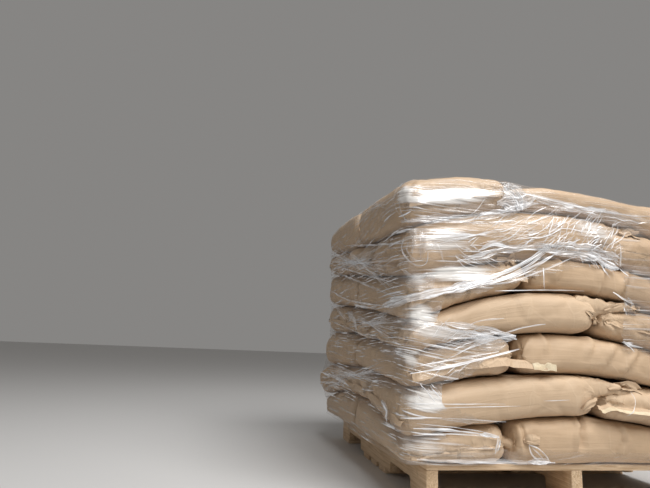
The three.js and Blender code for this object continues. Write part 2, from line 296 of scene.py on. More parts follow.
# How far its edge wanders, how far back it is cut, and the part of the front where the edge is
# softened: along the front and above the deck
OPENING_WANDER = 0.008
OPENING_BACK = 0.05
OPENING_ALONG = (0.0, 0.96)
OPENING_UP = (0.02, 0.70)

# Camera: its place from the pallet's front left corner at floor level, and the way it looks
CAMERA_PLACE = (-0.632, -1.686, 0.473)
CAMERA_FORWARD = (0.1657, 0.9692, 0.1823)
CAMERA_RIGHT = (0.9837, -0.1755, 0.0392)
CAMERA_LENS = 30.185
SENSOR_WIDTH = 36.0

# Lights: each one's place, what it is aimed at, its width and height, its power and its colour
Light = namedtuple("Light", "name place aim size power colour")
LIGHTS = [
    Light("key", (1.1, -3.2, 3.6), (0.1, -0.3, 0.7), (2.6, 2.0), 128, (1, 0.99, 0.97)),
    Light("sky", (0.3, -1.9, 4.6), (0.0, -0.2, 0.9), (3.4, 1.6), 155, (0.98, 0.99, 1.0)),
]
WORLD_COLOUR = (1.0, 0.975, 0.945, 1)
WORLD_STRENGTH = 0.24
FLOOR_SIZE = 30

# Primes that scramble a cell's place, and the bits that are kept while and after scrambling
PRIMES = (374761393, 668265263, 1440662683, 1274126177)
WORD = 0xFFFFFFFF
KEPT = 0xFFFFF

# Colours of the paper, the tape, the film, the wood, the nails and the floor
PAPER_DARK = (0.500, 0.351, 0.220, 1)
PAPER_LIGHT = (0.572, 0.414, 0.273, 1)
PAPER_PALE = (0.605, 0.456, 0.314, 1)
PAPER_STAIN = (0.43, 0.295, 0.18, 1)
PAPER_FIBRE = (0.47, 0.32, 0.195, 1)
PAPER_CREASE = (0.70, 0.55, 0.39, 1)
TAPE_LIGHT = (0.75, 0.65, 0.47, 1)
TAPE_DARK = (0.62, 0.49, 0.32, 1)
TAPE_CREPE = (0.55, 0.44, 0.29, 1)
FILM_CLEAR = (0.36, 0.28, 0.21, 1)
FILM_MILKY = (0.94, 0.95, 0.98, 1)
# The white of the painted highlight on the film
PAINTED_HIGHLIGHT_WHITE = (1.0, 0.97, 0.93, 1)
WOOD_WARM = (0.76, 0.55, 0.345, 1)
WOOD_PALE = (0.87, 0.685, 0.48, 1)
WOOD_GROWTH = (0.40, 0.235, 0.115, 1)
WOOD_FIBRE = (0.80, 0.62, 0.41, 1)
WOOD_CLOUD = (0.50, 0.35, 0.20, 1)
WOOD_STAIN = (0.28, 0.18, 0.10, 1)
WOOD_RING = (0.42, 0.22, 0.10, 1)
WOOD_KNOT = (0.22, 0.11, 0.05, 1)
NAIL_GREY = (0.33, 0.31, 0.29, 1)
FLOOR_GREY = (0.62, 0.61, 0.60, 1)


# Noise. The numbers that places are divided by in a call are the sizes of its features, in metres.
# The last number of each call is its seed, which only keeps one pattern from another.

def hashed(cell_x, cell_y, cell_z, seed):
    """A number from 0 to 1 for each cell of a lattice."""
    bits = cell_x * PRIMES[0] + cell_y * PRIMES[1] + cell_z * PRIMES[2] + seed * PRIMES[3]
    bits &= WORD
    bits = ((bits ^ (bits >> 13)) * PRIMES[3]) & WORD
    bits = ((bits ^ (bits >> 15)) * PRIMES[1]) & WORD
    return ((bits ^ (bits >> 16)) & KEPT) / float(KEPT)


def soft_noise(x, y, z, seed):
    """Smooth noise from -1 to 1, with features about one unit wide."""
    cells = [np.floor(a).astype(np.int64) for a in (x, y, z)]
    parts = [a - c for a, c in zip((x, y, z), cells)]
    parts = [p * p * p * (p * (p * 6 - 15) + 10) for p in parts]
    total = 0.0
    for i in (0, 1):
        for j in (0, 1):
            for k in (0, 1):
                weight = (parts[0] if i else 1 - parts[0]) * (parts[1] if j else 1 - parts[1])
                weight = weight * (parts[2] if k else 1 - parts[2])
                total = total + weight * hashed(cells[0] + i, cells[1] + j, cells[2] + k, seed)
    return 2 * total - 1


def folded_noise(x, y, z, seed):
    """Noise from 0 to 1 with sharp ridges at 1, as creases have."""
    return (1 - np.abs(soft_noise(x, y, z, seed))) ** 2


def crumple(s, t, seed):
    """Flat facets that meet in creases, from -1 to 1, as crumpled paper has."""
    s = s + 0.35 * soft_noise(s, t, 0 * s, seed + 1)
    t = t + 0.35 * soft_noise(s, t, 0 * s + 7.5, seed + 2)
    column = np.floor(s).astype(np.int64)
    row = np.floor(t).astype(np.int64)
    f = s - column
    g = t - row
    plane = 0 * column
    start, right, above, across = (
        hashed(column + i, row + j, plane, seed) for i, j in ((0, 0), (1, 0), (0, 1), (1, 1)))
    low = start + f * (right - start) + g * (across - right)
    high = start + g * (above - start) + f * (across - above)
    return 2 * np.where(f > g, low, high) - 1


def ease(value, low, high):
    """0 below low, 1 above high and a smooth rise between them."""
    part = np.clip((value - low) / (high - low), 0, 1)
    return part * part * (3 - 2 * part)


# Meshes

def new_piece(name, mesh):
    """A piece of the scene from a mesh that is made where it belongs."""
    piece = bpy.data.objects.new(name, mesh)
    bpy.context.scene.collection.objects.link(piece)
    return piece


def mesh_from(bm, name):
    """A mesh of what a bmesh holds, which is then let go."""
    mesh = bpy.data.meshes.new(name)
    bm.to_mesh(mesh)
    bm.free()
    return mesh


def meshes_of(*starts):
    """The meshes of the pieces whose names start in one of these ways."""
    return [piece.data for piece in bpy.context.scene.objects if piece.name.startswith(starts)]


def dressed_in(piece, slot, material=None):
    """Gives a piece its finish and its place among the part's pieces."""
    piece.data.materials.append(materials[material or slot])
    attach(piece, "root")


def vertex_places(mesh):
    """Where each vertex is, one row for each."""
    places = np.zeros(len(mesh.vertices) * 3, np.float32)
    mesh.vertices.foreach_get("co", places)
    return places.reshape(-1, 3).astype(float)


def vertex_normals(mesh):
    """Which way the surface faces at each vertex."""
    normals = np.zeros(len(mesh.vertices) * 3, np.float32)
    mesh.vertex_normals.foreach_get("vector", normals)
    return normals.reshape(-1, 3).astype(float)


def set_places(mesh, places):
    mesh.vertices.foreach_set("co", np.asarray(places, np.float32).ravel())
    mesh.update()


def add_values(mesh, name, values):
    """Keeps one number for each vertex, for a material to read."""
    layer = mesh.attributes.new(name, "FLOAT", "POINT")
    layer.data.foreach_set("value", np.asarray(values, np.float32))


def add_uv(mesh, name, per_vertex):
    """A UV map from one pair of numbers for each vertex."""
    layer = mesh.uv_layers.new(name=name)
    corners = np.zeros(len(mesh.loops), np.int32)
    mesh.loops.foreach_get("vertex_index", corners)
    layer.data.foreach_set("uv", np.asarray(per_vertex, np.float32)[corners].ravel())


def add_paper_marks(mesh, flat_places, from_end, tone):
    """What the paper's material reads: places on the flat paper, distance from an end and tone."""
    add_uv(mesh, "paper", flat_places)
    add_values(mesh, "from_end", from_end)
    add_values(mesh, "tone", tone)


def smooth_shaded(mesh):
    mesh.polygons.foreach_set("use_smooth", np.ones(len(mesh.polygons), bool))


def surface_area(mesh):
    areas = np.zeros(len(mesh.polygons), np.float32)
    mesh.polygons.foreach_get("area", areas)
    return float(areas.sum())


def joined(name, meshes):
    """Several meshes as one piece."""
    bm = bmesh.new()
    for mesh in meshes:
        bm.from_mesh(mesh)
        bpy.data.meshes.remove(mesh)
    mesh = mesh_from(bm, name)
    smooth_shaded(mesh)
    return new_piece(name, mesh)


def declared_sheet(piece):
    """Works out a piece's surface area, which is not used further."""
    area = surface_area(piece.data)


# Courses and sacks

def paper_tone_and_shade(sack):
    """How pale a sack's paper is, as the table of tones says or else by chance. On some sacks
    this paleness is painted shade.
    """
    return PAPER_TONES_AND_SHADE.get(sack.name, hashed(sack.course, sack.number, 0, 77))


def through_three(t, a, b, c):
    """The value at t, from 0 to 1, of the parabola through a at 0, b at 0.5 and c at 1."""
    return a * (2 * t - 1) * (t - 1) + b * 4 * t * (1 - t) + c * t * (2 * t - 1)


def course_height(course, x, y):
    """Height above the deck of the face between two courses. Course 0 is the deck."""
    if course == 0:
        return 0 * x
    top = COURSE_TOPS[course - 1]
    centre = (top.front_middle + top.left_middle) / 2 + CENTRE_CROWN
    s = x / PALLET_WIDTH
    t = y / PALLET_DEPTH
    front = through_three(s, top.front_left, top.front_middle, top.front_right)
    middle = through_three(s, top.left_middle, centre, top.left_middle)
    back = through_three(s, top.back_left, top.front_middle, top.front_left)
    wave = COURSE_WAVE * soft_noise(x / 0.26, y / 0.26, 0 * x + course * 3.7, 11)
    return through_three(t, front, middle, back) + wave


def lean_at(course, x, y):
    """How far a place of a course is moved because its left side leans out to the back."""
    sides = COURSE_SIDES[course - 1]
    reach = (y - sides.front) * (sides.right - x)
    return -sides.lean * reach / ((sides.back - sides.front) * (sides.right - sides.left))


Sack = namedtuple("Sack", "name course number x0 x1 y0 y1 crosswise inner seed")


def sack_size(sack):
    """A sack's length and width."""
    size_x = sack.x1 - sack.x0
    size_y = sack.y1 - sack.y0
    return (size_x, size_y) if sack.crosswise else (size_y, size_x)


def column_of_sacks(course, first_number, count, x0, x1, split_side):
    """One of a course's two columns: two sacks end to end, or three that lie across it. inner is
    the way, 1 or -1, from a sack's outer end to its inner one."""
    sides = COURSE_SIDES[course - 1]
    pitch = (sides.back - sides.front) / count
    sacks = []
    for index in range(count):
        y0 = sides.front + index * pitch + SACK_GAP / 2
        number = first_number + index
        lengthwise_inner = 1 if index == 0 else -1
        inner = lengthwise_inner if count == 2 else split_side
        name = f"sack_{course}_{number}"
        sacks.append(Sack(name, course, number, x0, x1, y0, y0 + pitch - SACK_GAP,
                          count == 3, inner, 100 * course + number))
    return sacks


def all_sacks():
    """Odd courses have two lengthwise sacks on the left, even courses on the right."""
    sacks = []
    for index, sides in enumerate(COURSE_SIDES):
        course = index + 1
        left_count = 2 if course % 2 else 3
        sacks += column_of_sacks(course, 1, left_count, sides.left, sides.split - SACK_GAP / 2, 1)
        sacks += column_of_sacks(course, left_count + 1, 5 - left_count,
                                 sides.split + SACK_GAP / 2, sides.right, -1)
    return sacks


def station(place, half, reach):
    """Splits a place from -1 to 1 into the start of its rounding and its share of the reach."""
    share = np.sin(np.clip((np.abs(place) - FLAT_SHARE) / (1 - FLAT_SHARE), 0, 1) * np.pi / 2)
    flat = np.minimum(np.abs(place) / FLAT_SHARE, 1)
    return np.sign(place) * (half - reach) * flat, share


def from_flat(a, b):
    """0 on the flat part of a sack and 1 on its rim, from its two shares of the reach."""
    return np.sqrt(np.clip(a * a + b * b - a * a * b * b, 0, 1))


def top_sunk(sack, x, y):
    """How far the upper face of the top course has sunk."""
    left = TOP_SUNK_LEFT * (1 - ease(x, *LEFT_SUNK_TO))
    left = left * (1 - LEFT_SUNK_BACK_LESS * ease(y, *LEFT_SUNK_BACK))
    if sack.name != INNER_SUNK_SACK:
        return left
    inner = TOP_SUNK_INNER * ease(x, *INNER_SUNK_FROM) * (1 - ease(x, *INNER_SUNK_TO))
    return left + inner * (1 - ease(y, *INNER_SUNK_BACK))


def sack_places(sack, along, across, side):
    """Points of a sack's smooth form. along is -1 at its outer end and 1 at its inner end,
    across runs from -1 to 1, and side is 1 on the upper skin, -1 on the lower, 0 on the rim."""
    length, width = sack_size(sack)
    inner_reach = TAPERED_END_REACH if sack.name in TAPERED_SACKS else INNER_END_REACH
    end_reach = np.where(along > 0, inner_reach, OUTER_END_REACH)
    start_s, a = station(along, length / 2, end_reach)
    start_t, b = station(across, width / 2, SIDE_REACH)
    s = start_s + np.sign(along) * end_reach * a * np.sqrt(1 - CORNER_DRAW * b * b / 2)
    t = start_t + np.sign(across) * SIDE_REACH * b * np.sqrt(1 - CORNER_DRAW * a * a / 2)
    s = s * sack.inner
    t = t * sack.inner
    x = (sack.x0 + sack.x1) / 2 + (s if sack.crosswise else -t)
    y = (sack.y0 + sack.y1) / 2 + (t if sack.crosswise else s)
    x = x + lean_at(sack.course, x, y)
    floor = course_height(sack.course - 1, x, y) + COURSE_GAP / 2
    ceiling = course_height(sack.course, x, y) - COURSE_GAP / 2
    if sack.course == COURSES:
        ceiling = ceiling - top_sunk(sack, x, y)
    if sack.name in PRESSED_SACKS:
        press = BEAK_PRESS * np.exp(-((x - sack.x0 - PRESS_MIDDLE) / PRESS_WIDTH) ** 2)
        ceiling = ceiling - press * (1 - ease(y, *PRESS_BACK))
    share = np.clip(1 - from_flat(a, b) ** ROUNDING_SQUARENESS, 0, 1) ** (1 / ROUNDING_FULLNESS)
    z = (floor + ceiling) / 2 + side * (ceiling - floor) / 2 * share
    return np.stack([x, y, z], axis=1)


def exposure(sack, along, across, side):
    """0 where a sack lies on or under another and 1 on its open faces."""
    _, a = station(along, 1, 0)
    _, b = station(across, 1, 0)
    open_face = ease(from_flat(a, b), 0.25, 0.65)
    if sack.course == COURSES:
        open_face = np.where(side > 0, 1, open_face)
    return open_face


def closed_grid(name, segments):
    """Two square skins from -1 to 1, joined along the rim. z is 1 on the upper skin, -1 on the
    lower one and 0 on the rim."""
    bm = bmesh.new()
    bmesh.ops.create_grid(bm, x_segments=segments[0], y_segments=segments[1], size=1)
    upper = list(bm.verts)
    copied = bmesh.ops.duplicate(bm, geom=bm.verts[:] + bm.edges[:] + bm.faces[:])["geom"]
    lower = [part for part in copied if isinstance(part, bmesh.types.BMVert)]
    lower_faces = [part for part in copied if isinstance(part, bmesh.types.BMFace)]
    for verts, side in ((upper, 1), (lower, -1)):
        for vert in verts:
            on_rim = max(abs(vert.co.x), abs(vert.co.y)) > 0.9999
            vert.co.z = 0 if on_rim else side
    bmesh.ops.reverse_faces(bm, faces=lower_faces)
    bmesh.ops.remove_doubles(bm, verts=bm.verts[:], dist=1e-5)
    mesh = mesh_from(bm, name)
    smooth_shaded(mesh)
    return mesh


def arc_lengths(sack, places, lengthwise):
    """Distance over the upper skin from its middle to each of the places, and to both rims."""
    fine = np.linspace(-1, 1, 401)
    zero = 0 * fine
    along, across = (fine, zero) if lengthwise else (zero, fine)
    line = sack_places(sack, along, across, zero + 1)
    lengths = np.concatenate([[0], np.cumsum(np.linalg.norm(np.diff(line, axis=0), axis=1))])
    lengths -= lengths[len(fine) // 2]
    return np.interp(places, fine, lengths), lengths[0], lengths[-1]


def sack_relief(sack, s, t, from_end, from_side):
    """How far the paper stands out from the smooth form. s is the distance along the sack, t
    the distance round it, and from_end and from_side the distances from its ends and sides.
    Each part is a depth in metres, below 0 for hollows, times its pattern."""
    seed = sack.seed
    zero = 0 * s
    dents = 0.0055 * soft_noise(s / 0.21, t / 0.09, zero, seed)
    rolls = -0.0022 * folded_noise(s / 0.20, t / 0.060 + 0.9 * s, zero, seed + 20)
    slanting = -0.0042 * folded_noise(s / 0.11 + t / 0.13, t / 0.10 - s / 0.2, zero, seed + 25) ** 2
    near_end = np.exp(-from_end / 0.055)
    near_corner = np.exp(-from_end / 0.075) * np.exp(-from_side / 0.075)
    pleats = -0.0060 * near_end * folded_noise(s / 0.15, t / 0.030, zero, seed + 30)
    turn = np.arctan2(from_end, from_side + 1e-4)
    out = from_end / 0.12 + from_side / 0.12
    fans = -0.0130 * near_corner * folded_noise(turn * 2.6, out, zero, seed + 35)
    crumples = (0.0023 + 0.0055 * near_end) * crumple(s / 0.062, t / 0.048, seed + 40)
    fine = (0.0006 + 0.0022 * near_end) * crumple(s / 0.024, t / 0.019, seed + 50)
    return dents + rolls + slanting + pleats + fans + crumples + fine


def fold_relief(sack, places):
    """The sharp folds of one sack: a hollow along each line with a lip on one side."""
    x, y, z = places.T
    relief = 0 * x
    for share, *line in FOLDS.get(sack.name, ()):
        for (x0, z0), (x1, z1) in zip(line, line[1:]):
            length = math.hypot(x1 - x0, z1 - z0)
            along = ((x - x0) * (x1 - x0) + (z - z0) * (z1 - z0)) / length ** 2
            over = np.maximum(np.abs(along - 0.5) - 0.5, 0) * length
            off = ((x - x0) * (z1 - z0) - (z - z0) * (x1 - x0)) / length
            fade = np.exp(-(over / FOLD_FADE) ** 2)
            lip = 0.8 * np.exp(-((off - FOLD_WIDTH) / (1.2 * FOLD_WIDTH)) ** 2)
            relief += FOLD_DEPTH * share * fade * (lip - np.exp(-(off / (0.6 * FOLD_WIDTH)) ** 2))
    return np.where(y < FOLD_BACK, relief, 0)


def make_sack(sack, grids):
    """One filled sack of creased paper."""
    mesh = grids["near" if sack.y0 < NEAR_START else "far"].copy()
    mesh.name = sack.name
    along, across, side = vertex_places(mesh).T
    set_places(mesh, sack_places(sack, along, across, side))
    s, outer_rim, inner_rim = arc_lengths(sack, along, True)
    t, _, side_rim = arc_lengths(sack, across, False)
    t = np.where(side < 0, np.sign(t) * (2 * side_rim - np.abs(t)), t)
    from_end = np.where(s > 0, inner_rim - s, s - outer_rim)
    from_side = side_rim - np.abs(np.where(side < 0, 2 * side_rim - np.abs(t), t))
    relief = sack_relief(sack, s, t, from_end, from_side)
    relief *= 0.25 + 0.75 * exposure(sack, along, across, side)
    relief *= np.where(side < 0, ease(np.abs(across), 0.0, 0.16), 1)
    relief += fold_relief(sack, vertex_places(mesh))
    places = vertex_places(mesh) + vertex_normals(mesh) * relief[:, None]
    set_places(mesh, places + LOAD_ORIGIN)
    add_paper_marks(mesh, np.stack([s, t], axis=1), from_end, 0 * s + paper_tone_and_shade(sack))
    piece = new_piece(f"paper_{sack.name}", mesh)
    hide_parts(sack.name)
    dressed_in(piece, "kraft_paper")


# Film

def film_outline(distances):
    """Places in plan, inward directions and roundness at distances round the film's outline,
    which runs from the back left corner down the left side and on round to the left."""
    left, right, front, back = FILM_SIDES
    r = FILM_CORNER
    turn = r * math.pi / 2
    sides = [  # start, direction, length
        ((left, back - r), (0, -1), back - front - 2 * r),
        ((left + r, front), (1, 0), right - left - 2 * r),
        ((right, front + r), (0, 1), back - front - 2 * r),
        ((right - r, back), (-1, 0), right - left - 2 * r),
    ]
    x, y, nx, ny, roundness = (0 * distances for _ in range(5))
    start = 0.0
    for (sx, sy), (dx, dy), length in sides:
        along = distances - start
        here = (along >= 0) & (along <= length)
        x = np.where(here, sx + dx * along, x)
        y = np.where(here, sy + dy * along, y)
        nx = np.where(here, -dy, nx)
        ny = np.where(here, dx, ny)
        round_part = along - length
        here = (round_part > 0) & (round_part < turn)
        angle = round_part / r
        centre_x = sx + dx * length - dy * r
        centre_y = sy + dy * length + dx * r
        inward_x = -dy * np.cos(angle) - dx * np.sin(angle)
        inward_y = dx * np.cos(angle) - dy * np.sin(angle)
        x = np.where(here, centre_x - r * inward_x, x)
        y = np.where(here, centre_y - r * inward_y, y)
        nx = np.where(here, inward_x, nx)
        ny = np.where(here, inward_y, ny)
        roundness = np.where(here, 1 / r, roundness)
        start += length + turn
    return x, y, nx, ny, roundness


def film_columns():
    """Distances round the outline, closer together on the left and front faces."""
    fine, coarse = FILM_STEPS
    left, right, front, back = FILM_SIDES
    perimeter = 2 * (right - left + back - front) - (8 - 2 * math.pi) * FILM_CORNER
    stops = [(FILM_START, coarse), (FILM_IN_VIEW[0], fine), (FILM_IN_VIEW[1], coarse),
             (perimeter + FILM_START + FILM_OVERLAP, 0)]
    parts = []
    for (low, step), (high, _) in zip(stops, stops[1:]):
        parts.append(np.linspace(low, high, round((high - low) / step), endpoint=False))
    return np.append(np.concatenate(parts), stops[-1][0]), perimeter


def film_rays():
    """Where each place of the film is drawn in from, which way, and the distances round and up."""
    columns, perimeter = film_columns()
    x, y, nx, ny, roundness = film_outline(np.mod(columns, perimeter))
    inner_x = x + nx * FILM_SHOULDER
    inner_y = y + ny * FILM_SHOULDER
    top = course_height(COURSES, inner_x, inner_y)
    shoulder_start = top + FILM_HEADROOM - FILM_SHOULDER
    side_rows, shoulder_rows, collar_rows = FILM_ROWS
    starts, directions, ups, bends = [], [], [], []
    zero = 0 * x
    for row in range(side_rows):
        z = FILM_FOOT + (shoulder_start - FILM_FOOT) * row / side_rows
        starts.append(np.stack([x, y, z], axis=1))
        directions.append(np.stack([nx, ny, zero], axis=1))
        ups.append(z)
        bends.append(zero)
    for row in range(shoulder_rows + 1):
        angle = math.pi / 2 * row / shoulder_rows
        flat_part = math.cos(angle)
        direction = np.stack([nx * flat_part, ny * flat_part, zero - math.sin(angle)], axis=1)
        centre = np.stack([inner_x, inner_y, shoulder_start], axis=1)
        starts.append(centre - FILM_SHOULDER * direction)
        directions.append(direction)
        ups.append(shoulder_start + FILM_SHOULDER * angle)
        bends.append(zero + 1 / FILM_SHOULDER)
    middle_x = (FILM_SIDES.left + FILM_SIDES.right) / 2
    middle_y = (FILM_SIDES.front + FILM_SIDES.back) / 2
    half_x = FILM_SIDES.right - middle_x - FILM_SHOULDER
    half_y = FILM_SIDES.back - middle_y - FILM_SHOULDER
    for row in range(1, collar_rows + 1):
        inset = FILM_COLLAR * row / collar_rows
        collar_x = middle_x + (inner_x - middle_x) * (1 - inset / half_x)
        collar_y = middle_y + (inner_y - middle_y) * (1 - inset / half_y)
        z = course_height(COURSES, collar_x, collar_y) + FILM_HEADROOM
        starts.append(np.stack([collar_x, collar_y, z], axis=1))
        directions.append(np.stack([zero, zero, zero - 1], axis=1))
        ups.append(shoulder_start + FILM_SHOULDER * math.pi / 2 + inset)
        bends.append(zero)
    rounds = np.broadcast_to(columns, (len(starts), len(columns)))
    return (np.array(starts), np.array(directions), rounds, np.array(ups),
            np.broadcast_to(roundness, rounds.shape), np.array(bends))


def surface_of(meshes):
    """The faces of several meshes, for casting rays at."""
    places, faces = [], []
    for mesh in meshes:
        first = len(places)
        places += [vert.co for vert in mesh.vertices]
        faces += [[first + index for index in face.vertices] for face in mesh.polygons]
    return BVHTree.FromPolygons(places, faces)


def depths_to(surface, starts, directions, reach):
    """How far each ray goes before it meets the surface, up to reach."""
    found = np.full(starts.shape[:-1], reach)
    for place in np.ndindex(found.shape):
        hit = surface.ray_cast(Vector(starts[place]), Vector(directions[place]), reach)
        if hit[0] is not None:
            found[place] = hit[3]
    return found


def summed(values, places):
    """The running sum of values over the distance between places, from 0 at the first."""
    steps = (values[1:] + values[:-1]) / 2 * np.diff(places, axis=0)
    return np.concatenate([0 * places[:1], np.cumsum(steps, axis=0)])


def taut_along(heights, places, roundness, bend, shifts, rising):
    """One pass of drawing the film taut along the first axis. Where rising, each place takes the
    height that a film which bends no more than it can needs there to clear its neighbours, and
    otherwise the height that the lowest such film has there."""
    angle = summed(roundness, places)
    offset = summed(angle, places)
    result = heights.copy()
    for shift in range(1, shifts + 1):
        gap = places[shift:] - places[:-shift]
        ahead = bend * gap ** 2 / 2 + offset[shift:] - offset[:-shift] - angle[:-shift] * gap
        behind = bend * gap ** 2 / 2 + offset[:-shift] - offset[shift:] + angle[shift:] * gap
        if rising:
            result[:-shift] = np.maximum(result[:-shift], heights[shift:] - ahead)
            result[shift:] = np.maximum(result[shift:], heights[:-shift] - behind)
        else:
            result[shift:] = np.minimum(result[shift:], heights[:-shift] + ahead)
            result[:-shift] = np.minimum(result[:-shift], heights[shift:] + behind)
    return result


def drawn_taut(heights, rounds, ups, roundness, bends):
    """The surface of a film drawn over a relief, given as heights over the film's outline."""
    for rising in (True, False):
        heights = taut_along(heights.T, rounds.T, roundness.T, BENDS_ROUND, TAUT_ROUND, rising).T
        heights = taut_along(heights, ups, bends, BENDS_UP, TAUT_UP, rising)
    return heights


def film_relief(rounds, ups, bridging):
    """How far the film's folds stand out, and the height that its pulled lines follow."""
    zero = 0 * rounds
    near_corner = np.exp(-((rounds - FILM_NEAR_CORNER) / 0.16) ** 2)
    flow = ups + 0.035 * soft_noise(rounds / 0.55, ups / 0.30, zero, 301)
    slant = ups - 0.30 * (rounds - FILM_NEAR_CORNER)
    slant = slant + 0.02 * soft_noise(rounds / 0.2, ups / 0.2, zero, 302)
    long_folds = folded_noise(rounds / 0.42, flow / 0.026, zero, 303) ** 2
    slant_folds = folded_noise(rounds / 0.26, slant / 0.020, zero, 304) ** 2
    hanging = ease(bridging, 0.004, 0.018)
    strength = 0.35 + 0.65 * hanging + 0.4 * near_corner
    relief = 0.0022 * strength * (0.6 * long_folds + 0.6 * slant_folds)
    relief += 0.0030 * hanging * folded_noise(rounds / 0.10, flow / 0.030, zero, 305)
    crushed = hanging + 0.5 * near_corner
    relief += 0.0008 * (crumple(rounds / 0.045, ups / 0.035, 306) + 1) * crushed
    return relief, flow


def inside(outline, x, z):
    """Whether each point lies inside a closed outline."""
    result = np.zeros(np.shape(x), bool)
    for (x0, z0), (x1, z1) in zip(outline, outline[1:] + outline[:1]):
        crosses = (z0 > z) != (z1 > z)
        result ^= crosses & (x < (x1 - x0) * (z - z0) / (z1 - z0 + 1e-12) + x0)
    return result


def flat_grid(name, columns, rows):
    """A sheet of quads, and the column and row of each of its vertices."""
    bm = bmesh.new()
    bmesh.ops.create_grid(bm, x_segments=columns, y_segments=rows, size=1)
    mesh = mesh_from(bm, name)
    smooth_shaded(mesh)
    shares = (vertex_places(mesh)[:, :2].T + 1) / 2
    return mesh, *np.rint(shares * np.array([[columns], [rows]])).astype(int)


def make_film(load_surface):
    """The main wrap, as a sleeve stretched over the load and torn open at the front. Returns its
    surface as it was before it was torn, for the loose film to lie on."""
    starts, directions, rounds, ups, roundness, bends = film_rays()
    depths = depths_to(load_surface, starts + LOAD_ORIGIN, directions, FILM_REACH)
    taut = drawn_taut(-depths, rounds, ups, roundness, bends)
    bridging = taut + depths
    relief, flow = film_relief(rounds, ups, bridging)
    out = taut + FILM_GAP + relief
    overlap = ease(rounds, rounds[0, -1] - FILM_OVERLAP - 0.02, rounds[0, -1] - FILM_OVERLAP)
    out = out + FILM_LAP * overlap
    places = starts - directions * out[..., None] + LOAD_ORIGIN
    rows, columns = rounds.shape
    mesh, column, row = flat_grid("stretch_wrap", columns - 1, rows - 1)
    set_places(mesh, places[row, column])
    add_uv(mesh, "film", np.stack([rounds[row, column], flow[row, column]], axis=1))
    add_values(mesh, "haze", film_haze_and_highlight(rounds, ups, bridging)[row, column])
    # The painted highlight on the film, which its material turns white
    add_values(mesh, "glare", film_painted_highlight(places - LOAD_ORIGIN)[row, column])
    add_values(mesh, "streaks", film_streaks(rounds)[row, column])
    whole = surface_of([mesh])
    cut_opening(mesh)
    piece = new_piece("stretch_wrap", mesh)
    flat = (float(rounds[0, -1] - rounds[0, 0]), float(ups[-1].mean() - ups[0].mean()))
    min(flat[0] * flat[1], surface_area(mesh))
    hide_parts("stretch_film")
    dressed_in(piece, "stretch_film")
    return whole


def cut_opening(mesh):
    """Takes the torn opening out of the front, with its edge softened."""
    bm = bmesh.new()
    bm.from_mesh(mesh)
    x, y, z = (np.array([face.calc_center_median() for face in bm.faces]) - LOAD_ORIGIN).T
    wander = OPENING_WANDER * soft_noise(x / 0.03, z / 0.03, 0 * x, 320)
    torn = inside(TORN_OPENING, x + wander, z + wander) & (y < OPENING_BACK)
    bm.faces.ensure_lookup_table()
    bmesh.ops.delete(bm, geom=[bm.faces[i] for i in np.flatnonzero(torn)], context="FACES")
    edge = []
    for vert in bm.verts:
        x, y, z = np.array(vert.co) - LOAD_ORIGIN
        in_front = OPENING_ALONG[0] < x < OPENING_ALONG[1] and OPENING_UP[0] < z < OPENING_UP[1]
        if vert.is_boundary and y < OPENING_BACK and in_front:
            edge.append(vert)
    for _ in range(3):
        bmesh.ops.smooth_vert(bm, verts=edge, factor=0.5, use_axis_x=True, use_axis_y=True,
                              use_axis_z=True)
    bm.to_mesh(mesh)
    bm.free()


def film_haze_and_highlight(rounds, ups, bridging):
    """How milky the film is, from 0 to 1: most where it bridges a gap and at the near corner. The
    white at the near corner and at its top is partly more turns of film and partly a painted
    highlight.
    """
    zero = 0 * rounds
    on_left = 1 - ease(rounds, FILM_NEAR_CORNER - 0.30, FILM_NEAR_CORNER - 0.05)
    haze = 0.14 - 0.08 * on_left + 0.10 * soft_noise(rounds / 0.35, ups / 0.12, zero, 310)
    haze = haze + 0.22 * ease(bridging, 0.004, 0.020)
    # Near the corner and at its top: more turns of film, and also a painted highlight
    near_corner = np.exp(-((rounds - FILM_NEAR_CORNER - 0.06) / 0.13) ** 2)
    patchy = 0.5 + soft_noise(rounds / 0.09, ups / 0.05, zero, 311)
    haze = haze + 0.14 * near_corner * patchy
    top_corner = np.exp(-((rounds - FILM_NEAR_CORNER + 0.10) / 0.09) ** 2) * ease(ups, 0.78, 0.84)
    return np.clip(haze + 0.24 * top_corner, 0, 1)


def film_painted_highlight(places):
    """How strongly the painted highlight whitens the film where it lies smooth on the near sacks,
    from 0 up.
    """
    x, y, z = np.moveaxis(places, -1, 0)
    glare = 0 * x
    for patch in PAINTED_HIGHLIGHTS:
        off_x = (x - patch.x) / patch.half_x
        off_z = (z - patch.z - patch.rise * (x - patch.x)) / patch.half_z
        glare = np.maximum(glare, patch.strength * np.exp(-(off_x ** 2 + off_z ** 2) ** GLARE_EDGE))
    return glare * (1 - ease(y, *GLARE_BACK))


def film_streaks(rounds):
    """How plainly the film's fine white lines show, from 0 to 1: most on the left and its corner.
    Their white is partly the film's own pulled lines and partly painted highlight streaks.
    """
    return 0.32 + 0.68 * (1 - ease(rounds, FILM_NEAR_CORNER - 0.05, FILM_NEAR_CORNER + 0.30))


# Loose strips of film or paper, which lie over the wrap or the sacks. Each one's points are given
# along the front and above the deck. Then come its width, how many folds run along it and how
# high they stand, how milky the film is or how pale the paper, how far its middle lies off what
# is under it, how much it widens to its end, and how far it may go behind the front's plane.

Strip = namedtuple("Strip", "points width folds height haze loose flare deepest",
                   defaults=(0.0, 0.0, FREE_DEPTH))


